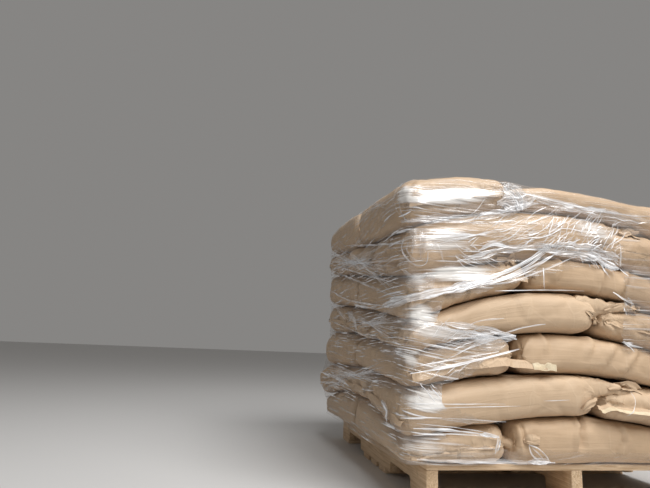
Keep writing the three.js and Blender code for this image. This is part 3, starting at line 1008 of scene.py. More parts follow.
def smooth_line(points, count):
    """Evenly counted places on a smooth line through a few points."""
    points = np.array(points)
    points = np.array([2 * points[0] - points[1], *points, 2 * points[-1] - points[-2]])
    spans = len(points) - 3
    t = np.linspace(0, spans - 1e-6, count)
    first = t.astype(int)
    t = (t - first)[:, None]
    a, b, c, d = (points[first + k] for k in range(4))
    square = (2 * a - 5 * b + 4 * c - d) * t ** 2
    cube = (3 * b - a - 3 * c + d) * t ** 3
    return 0.5 * (2 * b + (c - a) * t + square + cube)


def line_over_load(points, surface, step, deepest):
    """Places, outward directions and distances along a line that is given on the front's plane
    and laid on a surface, as it is seen from the camera. It goes no farther than deepest behind
    the plane. None where too little of the line meets the surface."""
    eye = np.array(CAMERA_PLACE) + (LOAD_ORIGIN[0], LOAD_ORIGIN[1], 0)
    held_back = deepest < FREE_DEPTH
    places, normals = [], []
    for x, z in smooth_line(points, LINE_PLACES):
        target = LOAD_ORIGIN + (x, FRONT_PLANE, z)
        direction = Vector(target - eye).normalized()
        place, normal, _, distance = surface.ray_cast(Vector(eye), direction)
        farthest = float(np.linalg.norm(target - eye)) + deepest
        if held_back and (place is None or distance > farthest):
            place = Vector(eye) + direction * farthest
            normal = Vector((0, -1, 0))
        if place is not None and (not places or (place - places[-1]).length < LONGEST_LEAP):
            places.append(place)
            normals.append(normal if normal.dot(direction) < 0 else -normal)
    if len(places) < FEWEST_PLACES:
        return None
    places, normals = np.array(places), np.array(normals)
    lengths = np.concatenate([[0], np.cumsum(np.linalg.norm(np.diff(places, axis=0), axis=1))])
    even = np.linspace(0, lengths[-1], max(4, round(lengths[-1] / step)))
    places = np.stack([np.interp(even, lengths, part) for part in places.T], axis=1)
    normals = np.stack([np.interp(even, lengths, part) for part in normals.T], axis=1)
    for _ in range(3):
        normals[1:-1] = (normals[:-2] + normals[1:-1] + normals[2:]) / 3
    return places, normals / np.linalg.norm(normals, axis=1)[:, None], even


def strip_mesh(strip, surface, seed, slot):
    """One strip laid over a surface, with its folds standing along it, and its length."""
    on_paper = slot == "kraft_paper"
    fine = strip.width > FOLDED_WIDTH
    deepest = EAR_DEPTH if on_paper else strip.deepest
    line = line_over_load(strip.points, surface, 0.004 if fine else 0.008, deepest)
    if line is None:
        return None, 0
    path, normals, lengths = line
    across = max(3, round(strip.width / 0.0022)) if fine else 1 + (strip.width > 0.005)
    tangents = np.gradient(path, axis=0)
    tangents /= np.linalg.norm(tangents, axis=1)[:, None] + 1e-9
    sides = np.cross(normals, tangents)
    mesh, column, row = flat_grid("strip", len(path) - 1, across)
    w = row / across * 2.0 - 1
    u = lengths[column]
    zero = 0 * u
    length = lengths[-1]
    ends = np.minimum(u, length - u)
    full = np.maximum(ease(ends, 0, 0.25 * length + 0.002), strip.flare * u / length)
    taper = 0.35 + 0.65 * full
    half = strip.width / 2 * taper * (1 + 0.35 * soft_noise(u / 0.05, zero, zero + seed, 501))
    sideways = w * half + 0.25 * half * soft_noise(u / 0.03, w * 1.5, zero + seed, 502)
    phase = strip.folds * w / 2 + 0.8 * soft_noise(u / 0.06, w, zero + seed, 503)
    folds = np.abs(np.sin(math.pi * phase)) * strip.height
    coarse = PAPER_CRUSH if on_paper else 1.0
    facets = crumple(u / (0.016 * coarse), w * half / (0.010 * coarse) + seed, 504)
    crush = strip.height * 0.6 * (facets + 1)
    lift = STRIP_LIFT + folds + crush * (strip.folds > 1)
    lift = lift + strip.loose * np.sin(math.pi * u / length)
    base = path[column] + sides[column] * sideways[:, None]
    drop = np.zeros(len(base))
    for index, (place, normal) in enumerate(zip(base, normals[column])):
        above = Vector(place + STRIP_SEARCH * normal)
        hit = surface.ray_cast(above, Vector(-normal), 2 * STRIP_SEARCH)
        drop[index] = STRIP_SEARCH - hit[3] if hit[0] is not None else 0
    places = base + normals[column] * (drop + lift)[:, None]
    set_places(mesh, places)
    flat_places = np.stack([u + 0.37 * seed, w * half + 0.11 * seed], axis=1)
    if on_paper:
        add_paper_marks(mesh, flat_places, zero + 0.04, zero + strip.haze)
    else:
        add_uv(mesh, "film", flat_places)
        add_values(mesh, "haze", strip.haze + 0.15 * soft_noise(u / 0.03, w, zero + seed, 505))
    return mesh, length


def laid_strips(name, strips, surface, seed, slot):
    """Several strips as one piece, laid over a surface."""
    meshes, lengths = [], []
    for index, strip in enumerate(strips):
        mesh, length = strip_mesh(strip, surface, seed + index, slot)
        if mesh is not None:
            meshes.append(mesh)
            lengths.append(length)
    piece = joined(name, meshes)
    declared_sheet(piece)
    dressed_in(piece, slot)


def fan(count, start, low, high, spread, seed, haze):
    """Straight hair-thin strands that run from one gathering place to a line farther on."""
    strips = []
    for index in range(count):
        share = (index + 0.8 * hashed(index, 1, 1, seed)) / count
        end = [low[k] + (high[k] - low[k]) * share for k in (0, 1)]
        begin = [start[0] + spread * (hashed(index, 2, 1, seed) - 0.5),
                 start[1] + 2 * spread * (share - 0.5)]
        cut = 0.45 + 0.55 * hashed(index, 3, 1, seed)
        first = 0.35 * hashed(index, 4, 1, seed)
        stops = (first, (first + cut) / 2, max(cut, first + 0.3))
        points = [tuple(begin[k] + (end[k] - begin[k]) * t for k in (0, 1)) for t in stops]
        width = 0.0012 + 0.0022 * hashed(index, 5, 1, seed) ** 2
        strips.append(Strip(points, width, 1, 0.0005, haze))
    return strips


def feathers(count, low, high, length, slope, seed, haze):
    """Short torn strands scattered over a part of the front, all leaning about the same way."""
    strips = []
    for index in range(count):
        x = low[0] + (high[0] - low[0]) * hashed(index, 1, 0, seed)
        z = low[1] + (high[1] - low[1]) * hashed(index, 2, 0, seed)
        size = length * (0.25 + 0.95 * hashed(index, 3, 0, seed) ** 2)
        angle = math.radians(slope + 46 * (hashed(index, 4, 0, seed) - 0.5))
        bend = 0.22 * size * (hashed(index, 5, 0, seed) - 0.5)
        across, up = math.cos(angle), math.sin(angle)
        points = [(x, z), (x + across * size / 2 - up * bend, z + up * size / 2 + across * bend),
                  (x + across * size, z + up * size)]
        width = 0.0013 + 0.0022 * hashed(index, 6, 0, seed) ** 2
        strips.append(Strip(points, width, 1, 0.0006, haze))
    return strips


# The film of the last turns, twisted into a rope that rises across the front
ROPE = [
    Strip([(-0.16, 0.474), (-0.01, 0.520), (0.09, 0.545), (0.20, 0.577)], 0.027, 6, 0.0034, 1.3),
    Strip([(0.07, 0.540), (0.23, 0.597), (0.34, 0.657), (0.43, 0.725)], 0.011, 3, 0.0026, 1.3),
    Strip([(0.12, 0.549), (0.25, 0.584), (0.36, 0.637), (0.45, 0.688)], 0.008, 2, 0.0024, 1.3),
    Strip([(0.15, 0.553), (0.27, 0.575), (0.39, 0.622), (0.50, 0.672)], 0.006, 1, 0.0020, 1.3),
    Strip([(0.02, 0.520), (0.18, 0.562), (0.30, 0.612), (0.42, 0.700)], 0.008, 2, 0.0024, 1.2),
    Strip([(0.17, 0.570), (0.29, 0.620), (0.40, 0.690), (0.47, 0.750)], 0.004, 1, 0.0014, 1.4),
    Strip([(0.20, 0.565), (0.33, 0.610), (0.46, 0.700)], 0.004, 1, 0.0014, 1.4),
    Strip([(-0.17, 0.478), (-0.20, 0.466), (-0.25, 0.474)], 0.009, 2, 0.0030, 0.9),
]

# The film gathered under the top course
TOP_GATHER = [
    Strip([(-0.10, 0.746), (-0.01, 0.760), (0.13, 0.777), (0.25, 0.804), (0.37, 0.849)],
          0.024, 4, 0.0046, 0.62),
    Strip([(0.25, 0.893), (0.30, 0.860), (0.30, 0.815)], 0.086, 9, 0.0054, 0.62),
    Strip([(0.22, 0.835), (0.30, 0.845), (0.36, 0.868)], 0.050, 6, 0.0046, 0.75),
    Strip([(0.34, 0.868), (0.46, 0.845), (0.57, 0.833), (0.68, 0.825), (0.84, 0.812)],
          0.029, 4, 0.0022, 0.56),
    Strip([(0.30, 0.880), (0.42, 0.865), (0.56, 0.845), (0.75, 0.830)], 0.007, 1, 0.0016, 1.2),
]

# The crushed film between the two courses above the rope
CRINKLE = [
    Strip([(0.08, 0.628), (0.16, 0.652), (0.23, 0.677), (0.34, 0.695), (0.45, 0.706)],
          0.026, 4, 0.0036, 0.85),
    Strip([(0.36, 0.693), (0.47, 0.694), (0.58, 0.690), (0.66, 0.676)], 0.054, 8, 0.0046, 0.80),
    Strip([(0.674, 0.735), (0.675, 0.690), (0.666, 0.640)], 0.006, 1, 0.0030, 0.9),
    Strip([(0.56, 0.690), (0.61, 0.655), (0.66, 0.640)], 0.030, 5, 0.0040, 0.8),
    Strip([(0.15, 0.667), (0.20, 0.695), (0.26, 0.690)], 0.012, 2, 0.0030, 1.2),
    Strip([(0.00, 0.575), (-0.04, 0.550), (-0.08, 0.545)], 0.052, 7, 0.0070, 0.5),
    Strip([(-0.10, 0.592), (-0.06, 0.570), (-0.01, 0.585)], 0.012, 3, 0.0040, 0.7),
]

# Loops and thick turns of film at the near corner
SWIRL = [
    Strip([(-0.095, 0.696), (-0.102, 0.655), (-0.083, 0.624), (-0.056, 0.608)],
          0.005, 1, 0.0024, 0.65),
    Strip([(-0.080, 0.690), (-0.085, 0.655), (-0.070, 0.632), (-0.048, 0.622)],
          0.004, 1, 0.0020, 0.5),
    Strip([(-0.066, 0.610), (-0.040, 0.608), (-0.022, 0.620), (-0.017, 0.652)],
          0.005, 1, 0.0024, 0.8),
    Strip([(-0.010, 0.662), (0.006, 0.684), (0.022, 0.668), (0.034, 0.625)],
          0.005, 1, 0.0020, 0.65),
    Strip([(-0.068, 0.732), (-0.062, 0.690), (-0.070, 0.640)], 0.022, 4, 0.0040, 0.30),
    Strip([(-0.040, 0.728), (-0.034, 0.680), (-0.040, 0.630)], 0.018, 3, 0.0040, 0.38),
    Strip([(-0.149, 0.654), (-0.093, 0.665), (-0.027, 0.679), (-0.003, 0.681)],
          0.005, 1, 0.0016, 1.0),
    Strip([(-0.103, 0.872), (-0.126, 0.843), (-0.129, 0.800), (-0.108, 0.762)],
          0.005, 1, 0.0020, 0.7),
    Strip([(-0.089, 0.867), (-0.109, 0.838), (-0.112, 0.794), (-0.095, 0.759)],
          0.005, 1, 0.0020, 0.8),
    Strip([(-0.112, 0.780), (-0.100, 0.764), (-0.082, 0.745)], 0.005, 1, 0.0016, 1.2),
    Strip([(-0.115, 0.761), (-0.096, 0.770), (-0.076, 0.783)], 0.005, 1, 0.0016, 1.2),
]

# Torn strands over the front, then short ones scattered over it, and fans of hair-thin ones
STRANDS = [
    Strip([(0.21, 0.541), (0.37, 0.553), (0.53, 0.559)], 0.0030, 1, 0.0006, 0.9),
    Strip([(0.384, 0.627), (0.385, 0.554)], 0.0030, 1, 0.0006, 1.6),
    Strip([(0.24, 0.408), (0.31, 0.430), (0.385, 0.443)], 0.007, 1, 0.0010, 1.6),
    Strip([(0.22, 0.410), (0.15, 0.373), (0.05, 0.320)], 0.005, 1, 0.0012, 1.2),
    Strip([(-0.07, 0.271), (0.06, 0.299), (0.19, 0.331), (0.29, 0.360)], 0.009, 2, 0.0016, 1.2),
    Strip([(-0.07, 0.289), (0.06, 0.317), (0.22, 0.348)], 0.006, 1, 0.0012, 1.1),
    Strip([(-0.09, 0.182), (0.06, 0.185), (0.24, 0.189)], 0.004, 1, 0.0008, 1.1),
    Strip([(-0.10, 0.168), (0.10, 0.176), (0.29, 0.184)], 0.003, 1, 0.0006, 1.1),
    Strip([(-0.10, 0.141), (0.03, 0.144)], 0.006, 1, 0.0008, 1.5),
    Strip([(0.02, 0.144), (0.14, 0.140), (0.24, 0.135)], 0.003, 1, 0.0006, 1.1),
    Strip([(0.37, 0.201), (0.46, 0.206)], 0.003, 1, 0.0006, 1.1),
    Strip([(0.02, 0.347), (0.097, 0.381)], 0.0030, 1, 0.0006, 1.4),
    Strip([(0.04, 0.366), (0.10, 0.395), (0.158, 0.421)], 0.0030, 1, 0.0006, 1.4),
    Strip([(-0.05, 0.126), (0.06, 0.118), (0.18, 0.104)], 0.0030, 1, 0.0006, 1.2),
    Strip([(-0.03, 0.110), (0.08, 0.107), (0.19, 0.094)], 0.0030, 1, 0.0006, 1.2),
    Strip([(0.08, 0.40), (0.15, 0.44), (0.24, 0.455)], 0.005, 1, 0.0010, 1.0),
    Strip([(-0.05, 0.44), (0.05, 0.41), (0.15, 0.405)], 0.006, 1, 0.0010, 1.0),
    *feathers(130, (0.38, 0.68), (0.66, 0.80), 0.062, 48, 601, 1.5),
    *feathers(44, (0.52, 0.64), (0.67, 0.71), 0.060, -55, 605, 1.5),
    *feathers(80, (0.10, 0.68), (0.44, 0.78), 0.120, 24, 602, 1.1),
    *feathers(12, (-0.04, 0.25), (0.10, 0.30), 0.060, 24, 603, 0.8),
    *feathers(20, (-0.05, 0.34), (0.14, 0.40), 0.075, 30, 604, 0.9),
    *feathers(18, (-0.06, 0.20), (0.02, 0.25), 0.060, -42, 606, 1.4),
    *feathers(30, (0.06, 0.642), (0.20, 0.692), 0.080, -16, 618, 1.2),
    *feathers(12, (0.655, 0.372), (0.700, 0.400), 0.040, -20, 616, 1.1),
    *feathers(10, (0.660, 0.505), (0.700, 0.540), 0.034, -70, 617, 1.0),
    *fan(34, (0.276, 0.394), (-0.02, 0.45), (0.06, 0.33), 0.016, 607, 1.3),
    *fan(18, (0.24, 0.735), (-0.07, 0.74), (-0.07, 0.64), 0.020, 608, 0.9),
]

# Strands and fans of the left side
SIDE_STRANDS = [
    Strip([(-0.29, 0.654), (-0.18, 0.665), (-0.06, 0.680)], 0.007, 1, 0.0016, 1.1),
    Strip([(-0.33, 0.600), (-0.21, 0.606), (-0.09, 0.629)], 0.006, 1, 0.0014, 0.9),
    Strip([(-0.36, 0.585), (-0.24, 0.545), (-0.11, 0.500)], 0.008, 2, 0.0016, 0.8),
    Strip([(-0.35, 0.599), (-0.22, 0.567), (-0.08, 0.540)], 0.005, 1, 0.0012, 0.9),
    Strip([(-0.33, 0.514), (-0.27, 0.487), (-0.16, 0.474)], 0.008, 2, 0.0014, 0.8),
    Strip([(-0.33, 0.423), (-0.22, 0.383), (-0.10, 0.357)], 0.006, 1, 0.0012, 0.8),
    Strip([(-0.35, 0.269), (-0.30, 0.252), (-0.26, 0.230)], 0.014, 3, 0.0024, 1.3),
    Strip([(-0.35, 0.239), (-0.30, 0.238), (-0.25, 0.219)], 0.010, 2, 0.0020, 1.2),
    Strip([(-0.27, 0.450), (-0.25, 0.427), (-0.24, 0.397)], 0.030, 4, 0.0040, 0.7),
    *fan(64, (-0.36, 0.600), (-0.10, 0.74), (-0.10, 0.48), 0.090, 611, 0.75),
    *fan(36, (-0.256, 0.421), (-0.09, 0.50), (-0.09, 0.33), 0.040, 612, 0.7),
    *fan(28, (-0.40, 0.53), (-0.262, 0.47), (-0.262, 0.39), 0.070, 613, 0.75),
    *fan(36, (-0.38, 0.255), (-0.12, 0.34), (-0.12, 0.20), 0.070, 614, 0.75),
    *fan(26, (-0.33, 0.74), (-0.12, 0.88), (-0.12, 0.76), 0.120, 615, 0.6),
]

# Torn ends that hang or stand off the load, and film that bridges the gap between two courses
TAILS = [
    Strip([(0.04, 0.430), (0.12, 0.424), (0.20, 0.412), (0.278, 0.396)], 0.020, 4, 0.0024, 1.0,
          deepest=BRIDGE_DEPTH),
    Strip([(0.12, 0.388), (0.17, 0.388), (0.22, 0.388), (0.275, 0.392)], 0.028, 6, 0.0030, 0.65,
          deepest=BRIDGE_DEPTH),
    Strip([(0.15, 0.362), (0.20, 0.362), (0.25, 0.378)], 0.020, 3, 0.0030, 0.45,
          deepest=BRIDGE_DEPTH),
    Strip([(0.19, 0.409), (0.24, 0.403), (0.282, 0.389)], 0.009, 2, 0.0024, 1.3,
          deepest=BRIDGE_DEPTH),
    Strip([(-0.156, 0.190), (-0.137, 0.164), (-0.140, 0.135)], 0.020, 3, 0.0040, 0.9, 0.004),
    Strip([(0.314, 0.068), (0.344, 0.058), (0.368, 0.038), (0.381, 0.018)],
          0.005, 1, 0.0024, 1.3, 0.004),
    Strip([(0.314, 0.066), (0.322, 0.040), (0.350, 0.020)], 0.005, 1, 0.0024, 1.2, 0.004),
    Strip([(0.326, 0.058), (0.346, 0.042), (0.366, 0.020)], 0.003, 1, 0.0016, 1.2, 0.003),
    Strip([(0.306, 0.020), (0.345, 0.023), (0.384, 0.016)], 0.016, 4, 0.0044, 0.9),
    Strip([(0.680, 0.236), (0.693, 0.211), (0.691, 0.180)], 0.0026, 1, 0.0016, 1.8, 0.003),
    Strip([(0.692, 0.188), (0.684, 0.172), (0.664, 0.161)], 0.0026, 1, 0.0016, 1.8, 0.003),
    Strip([(0.636, 0.560), (0.668, 0.542), (0.712, 0.524)], 0.007, 2, 0.0024, 1.1, 0.004),
    Strip([(0.690, 0.545), (0.704, 0.528), (0.700, 0.508)], 0.007, 2, 0.0030, 0.6),
    Strip([(0.662, 0.398), (0.690, 0.386), (0.735, 0.380)], 0.008, 3, 0.0026, 0.8),
]

# The film gathered at the foot of the load
LOW_GATHER = [
    Strip([(-0.06, 0.113), (0.056, 0.109), (0.154, 0.099), (0.214, 0.091)], 0.007, 2, 0.0020, 1.0),
    Strip([(-0.06, 0.092), (0.056, 0.098), (0.154, 0.094), (0.210, 0.088)], 0.005, 1, 0.0016, 1.0),
    Strip([(0.150, 0.100), (0.185, 0.096), (0.216, 0.090)], 0.013, 3, 0.0040, 1.5),
    Strip([(0.213, 0.096), (0.211, 0.070), (0.200, 0.042)], 0.013, 3, 0.0030, 0.8, 0.003),
    Strip([(-0.05, 0.024), (0.06, 0.019), (0.19, 0.019), (0.32, 0.016), (0.40, 0.015)],
          0.012, 3, 0.0030, 0.8),
]

# Each piece of loose film: its strips, the seed of the first of them, and how it is held
LOOSE_FILM = {
    "film_rope": (ROPE, 10, "gathered"),
    "film_gather_top": (TOP_GATHER, 30, "gathered"),
    "film_crinkle": (CRINKLE, 40, "gathered"),
    "film_swirl": (SWIRL, 50, "gathered"),
    "film_strands": (STRANDS, 60, "stretched"),
    "film_side_strands": (SIDE_STRANDS, 320, "stretched"),
    "film_tails": (TAILS, 630, "gathered"),
    "film_gather_low": (LOW_GATHER, 650, "gathered"),
}


def add_loose_film(surface):
    """Every piece of loose film, laid over the wrap."""
    for name, (strips, seed, held) in LOOSE_FILM.items():
        laid_strips(name, strips, surface, seed, "stretch_film")


# Sewn ends, closing tape and loose paper

def end_line(sack, end, across):
    """Places along a sack's end where its two skins meet, with the ways out and along."""
    places = sack_places(sack, 0 * across + end, across, 0 * across)
    sign = end * sack.inner
    out = np.array([sign, 0, 0]) if sack.crosswise else np.array([0, sign, 0])
    along = np.array([0, sack.inner, 0]) if sack.crosswise else np.array([-sack.inner, 0, 0])
    return places, out.astype(float), along.astype(float)


def hem_ear(sack, way, place):
    """How far a hem runs on past a side of its sack. It is tucked in at the load's own sides."""
    if sack.name == LONG_EAR and way[0] > 0.5:
        return LONG_EAR_REACH
    sides = COURSE_SIDES[sack.course - 1]
    x, y = place[:2] + way[:2] * HEM_OUTSIDE
    outside = x < sides.left or x > sides.right or y < sides.front or y > sides.back
    if outside or sack.name in TUCKED_HEMS:
        return HEM_TUCK
    return HEM_EAR_BARE if sack.name == BARE_HEM else HEM_EARS


def sewn_end(sack, end, droop, first, last, lift, name, low=-1.0, high=1.0):
    """The flattened hem across a sack's end, from first to last metres out from its rim, that
    hangs by droop degrees and runs on past the sack's sides at its ears. low and high are the
    part of the hem's width that is made, where the whole runs from -1 to 1."""
    steps = max(24, round(42 * (high - low)))
    mesh, column, row = flat_grid(name, steps, max(3, round((last - first) / 0.004)))
    c = low + (high - low) * column / steps
    q = first + (last - first) * row / row.max()
    seed = sack.seed + (500 if end > 0 else 0)
    zero = 0 * c
    held = np.clip(c / HEM_HELD, -1, 1)
    places, out, along = end_line(sack, end, held * HEM_COVER)
    beyond = np.sign(c) * ease(np.abs(c), HEM_HELD, 1.0)
    wave = soft_noise(c * 2.6, zero, zero + seed, 701)
    angle = math.radians(droop) * (1 + 0.28 * wave)
    bent = np.minimum(q, HEM_BEND)
    straight = np.maximum(q - HEM_BEND, 0)
    turned = np.clip(q / HEM_BEND, 0, 1)
    reach = bent * (1 - 0.35 * turned * angle ** 2 / 2) + straight * np.cos(angle)
    drop = bent * turned * np.sin(angle) / 2 + straight * np.sin(angle)
    ears = np.where(c > 0, hem_ear(sack, along, places[-1]), hem_ear(sack, -along, places[0]))
    run = held * (sack_size(sack)[1] / 2) + beyond * ears
    crush = 0.0016 + (0.0008 if sack.name == LONG_EAR else 0.0040) * np.abs(beyond)
    facets = crumple(run / 0.015, q / 0.018 + seed, 702)
    loose = crush * (facets + 0.8 * soft_noise(run / 0.023, q / 0.05, zero + seed, 703))
    out_by = reach - 0.006 + loose + lift * np.sin(angle)
    up_by = -drop + 0.004 * wave + loose + lift * np.cos(angle)
    places = places + out * out_by[:, None] + along * (beyond * ears)[:, None]
    if sack.name == LONG_EAR:
        up_by = up_by - LONG_EAR_DROP * ease(-c, 0.5, 1.0)
    tilt = soft_noise(zero, zero + np.sign(c), zero + seed, 704)
    places[:, 2] += up_by + 0.010 * np.abs(beyond) * tilt
    set_places(mesh, places + LOAD_ORIGIN)
    add_paper_marks(mesh, np.stack([q, run], axis=1), zero, zero + paper_tone_and_shade(sack))
    return mesh


def add_sewn_ends(sacks):
    """A hem on every end that faces out of the load, with its closing tape where it shows."""
    for sack in sacks:
        bare = sack.name == BARE_HEM
        long_ear = sack.name == LONG_EAR
        tucked = sack.name in TUCKED_HEMS
        droop = HEM_DROOP_BARE if bare else HEM_DROOP
        reach = HEM_REACH_BARE if bare or long_ear else HEM_REACH
        lift = 0.0
        if tucked:
            reach, lift = HEM_REACH_TUCKED, HEM_LIFT_TUCKED
        hem = joined(f"hem_{sack.name}", [sewn_end(sack, -1, droop, 0.0, reach, lift, "hem")])
        declared_sheet(hem)
        dressed_in(hem, "kraft_paper")
        start = sack.x0 if sack.crosswise else sack.y0
        if not (bare or long_ear or start > NEAR_START):
            continue
        first = reach - (LONG_EAR_TAPE if long_ear else TAPE_WIDTH)
        high = LONG_EAR_TAPE_TO if long_ear else 1.0
        tape = joined(f"tape_{sack.name}", [
            sewn_end(sack, -1, droop, first, reach + TAPE_PAST_HEM, TAPE_LIFT, "tape", -1, high)])
        declared_sheet(tape)
        dressed_in(tape, "closure_tape")


def add_beaks(sacks):
    """Sack ends that were flattened and folded, and stick out over the next sack."""
    by_name = {sack.name: sack for sack in sacks}
    for beak in BEAKS:
        sack = by_name[beak.sack]
        mesh = closed_grid(f"beak_{sack.name}", BEAK_GRID)
        q, c, side = vertex_places(mesh).T
        zero = 0 * q
        share = (q + 1) / 2
        out_by = beak.first + (beak.last - beak.first) * share
        places, out, along = end_line(sack, beak.end, c * beak.width * (1 - 0.10 * share))
        rounding = np.sqrt(np.clip(1 - np.abs(c) ** 8, 0, 1))
        half = beak.thick * (1 - share) ** 1.1 + BEAK_TIP
        thickness = half * rounding * np.sqrt(np.clip(1 - q ** 12, 0, 1))
        angle = math.radians(beak.droop)
        bowing = share ** 2 * (beak.last - beak.first) * math.sin(angle)
        pleats = folded_noise(out_by / 0.055 + 2.0 * c, c * 2.2, zero, sack.seed + 810)
        fold = 0.012 * share * (pleats - 0.4)
        crush = 0.009 * share * crumple(out_by / 0.030, c * 7.0, sack.seed + 811)
        crush += 0.0045 * crumple(out_by / 0.013, c * 15.0, sack.seed + 812)
        ragged = 0.020 * share * soft_noise(c * 5.0, zero, zero, sack.seed + 813)
        places = places + out * (out_by + ragged)[:, None]
        top = course_height(sack.course, places[:, 0], places[:, 1]) - beak.below
        places[:, 2] = top - half + side * thickness - bowing + fold + crush
        sideways = 0.010 * share * soft_noise(out_by / 0.03, c, zero, sack.seed + 814)
        places = places + along * sideways[:, None]
        set_places(mesh, places + LOAD_ORIGIN)
        add_paper_marks(mesh, np.stack([out_by, c * 0.2], axis=1), zero, zero + paper_tone_and_shade(sack))
        piece = new_piece(mesh.name, mesh)
        dressed_in(piece, "kraft_paper")


# Flattened ends and crushed corners of paper that stick out between the sacks at the front
PAPER_EARS = {
    "ear_sack_4_1": [
        Strip([(0.545, 0.474), (0.562, 0.463), (0.580, 0.450)], 0.020, 1, 0.0050, 0.7, 0.003, 0.5),
        Strip([(0.600, 0.498), (0.640, 0.507), (0.690, 0.512), (0.735, 0.505)],
              0.026, 1, 0.0050, 0.9, 0.005, 0.9),
    ],
    "ear_sack_2_1": [
        Strip([(0.600, 0.244), (0.640, 0.254), (0.682, 0.255), (0.714, 0.240)],
              0.026, 1, 0.0050, 0.85, 0.006, 0.9),
    ],
    "ear_sack_6_1": [
        Strip([(0.670, 0.770), (0.705, 0.768), (0.745, 0.762)], 0.036, 1, 0.0060, 0.2, 0.006, 0.8),
    ],
    "ear_sack_2_4": [
        Strip([(0.500, 0.178), (0.522, 0.196), (0.556, 0.212)], 0.030, 2, 0.0050, 0.6, 0.008),
    ],
    "ear_sack_5_3": [
        Strip([(0.215, 0.655), (0.250, 0.648), (0.275, 0.628)], 0.034, 2, 0.0060, 0.5, 0.006),
    ],
    "ear_sack_1_3": [
        Strip([(0.296, 0.080), (0.322, 0.085), (0.352, 0.081)], 0.026, 1, 0.0030, 0.9, 0.005, 0.9),
    ],
}


def add_loose_paper(surface):
    """Every ear of paper, laid over the sacks."""
    for index, (name, strips) in enumerate(PAPER_EARS.items()):
        laid_strips(name, strips, surface, 800 + 10 * index, "kraft_paper")


# Materials

def node(tree, kind, inputs=None, **settings):
    """A shader node with its settings and its inputs, each a value or another node's output."""
    made = tree.nodes.new(kind)
    for name, value in settings.items():
        setattr(made, name, value)
    for name, value in (inputs or {}).items():
        if isinstance(value, bpy.types.NodeSocket):
            tree.links.new(value, made.inputs[name])
        else:
            made.inputs[name].default_value = value
    return made


def calc(tree, operation, a, b, clamp=False):
    inputs = {0: a, 1: b}
    return node(tree, "ShaderNodeMath", inputs, operation=operation, use_clamp=clamp).outputs[0]


def times(tree, a, b):
    return calc(tree, "MULTIPLY", a, b)


def plus(tree, a, b):
    return calc(tree, "ADD", a, b)


def most(tree, a, b, clamp=False):
    return calc(tree, "MAXIMUM", a, b, clamp)


def weighed(tree, parts):
    """The sum of several values, each times its own weight."""
    total = None
    for value, weight in parts:
        part = times(tree, value, weight)
        total = part if total is None else plus(tree, total, part)
    return total


def ranged(tree, value, low, high, to_low=0.0, to_high=1.0):
    """A value moved from one range to another, with a soft start and end."""
    inputs = {"Value": value, "From Min": low, "From Max": high,
              "To Min": to_low, "To Max": to_high}
    return node(tree, "ShaderNodeMapRange", inputs, interpolation_type="SMOOTHSTEP").outputs[0]


def mixed(tree, factor, first, second):
    """One colour over another."""
    inputs = {0: factor, 6: first, 7: second}
    return node(tree, "ShaderNodeMix", inputs, data_type="RGBA").outputs[2]


def layered(tree, colour, layers):
    """A colour with others laid over it, each through its own mask and at its own strength."""
    for mask, strength, over in layers:
        colour = mixed(tree, times(tree, mask, strength), colour, over)
    return colour


def vector_calc(tree, operation, vector, other):
    """A vector times or plus another, or scaled by a number."""
    inputs = {0: vector, 3 if operation == "SCALE" else 1: other}
    return node(tree, "ShaderNodeVectorMath", inputs, operation=operation).outputs[0]


def noise(tree, vector, scale, detail, roughness=0.5, distortion=0.0):
    """The outputs of a noise texture."""
    inputs = {"Vector": vector, "Scale": scale, "Detail": detail,
              "Roughness": roughness, "Distortion": distortion}
    return node(tree, "ShaderNodeTexNoise", inputs).outputs


def stretched_noise(tree, vector, scale, detail, roughness, distortion, turn=0.0):
    """Noise whose size differs in each direction."""
    inputs = {"Vector": vector, "Scale": scale, "Rotation": (0, 0, turn)}
    placed = node(tree, "ShaderNodeMapping", inputs).outputs[0]
    return noise(tree, placed, 1.0, detail, roughness, distortion)["Fac"]


def uv_place(tree, name):
    return node(tree, "ShaderNodeUVMap", uv_map=name).outputs[0]


def object_place(tree):
    return node(tree, "ShaderNodeTexCoord").outputs["Object"]


def attribute(tree, name):
    """One of the numbers that a mesh keeps for each of its vertices."""
    return node(tree, "ShaderNodeAttribute", attribute_name=name).outputs["Fac"]


def add_bump(tree, shader, height, strength, distance):
    inputs = {"Strength": strength, "Distance": distance, "Height": height}
    bump = node(tree, "ShaderNodeBump", inputs).outputs[0]
    tree.links.new(bump, shader.inputs["Normal"])


def new_group(name, values, results):
    """An empty node group that takes a vector and some values, and puts out some masks. Returns
    it with the sockets of what it is given and of what it puts out."""
    tree = bpy.data.node_groups.new(name, "ShaderNodeTree")
    tree.interface.new_socket("Vector", in_out="INPUT", socket_type="NodeSocketVector")
    for socket, value in values.items():
        made = tree.interface.new_socket(socket, in_out="INPUT", socket_type="NodeSocketFloat")
        made.default_value = value
    for socket in results:
        tree.interface.new_socket(socket, in_out="OUTPUT", socket_type="NodeSocketFloat")
    return tree, node(tree, "NodeGroupInput").outputs, node(tree, "NodeGroupOutput").inputs


def mottling_group():
    """Cloudy patches over a surface, from 0 to 1."""
    tree, given, result = new_group("mottling", {"Scale": 5.0, "Low": 0.4, "High": 0.6}, ["Factor"])
    clouds = noise(tree, given["Vector"], given["Scale"], 4.0, 0.6)["Fac"]
    tree.links.new(ranged(tree, clouds, given["Low"], given["High"]), result["Factor"])
    return tree


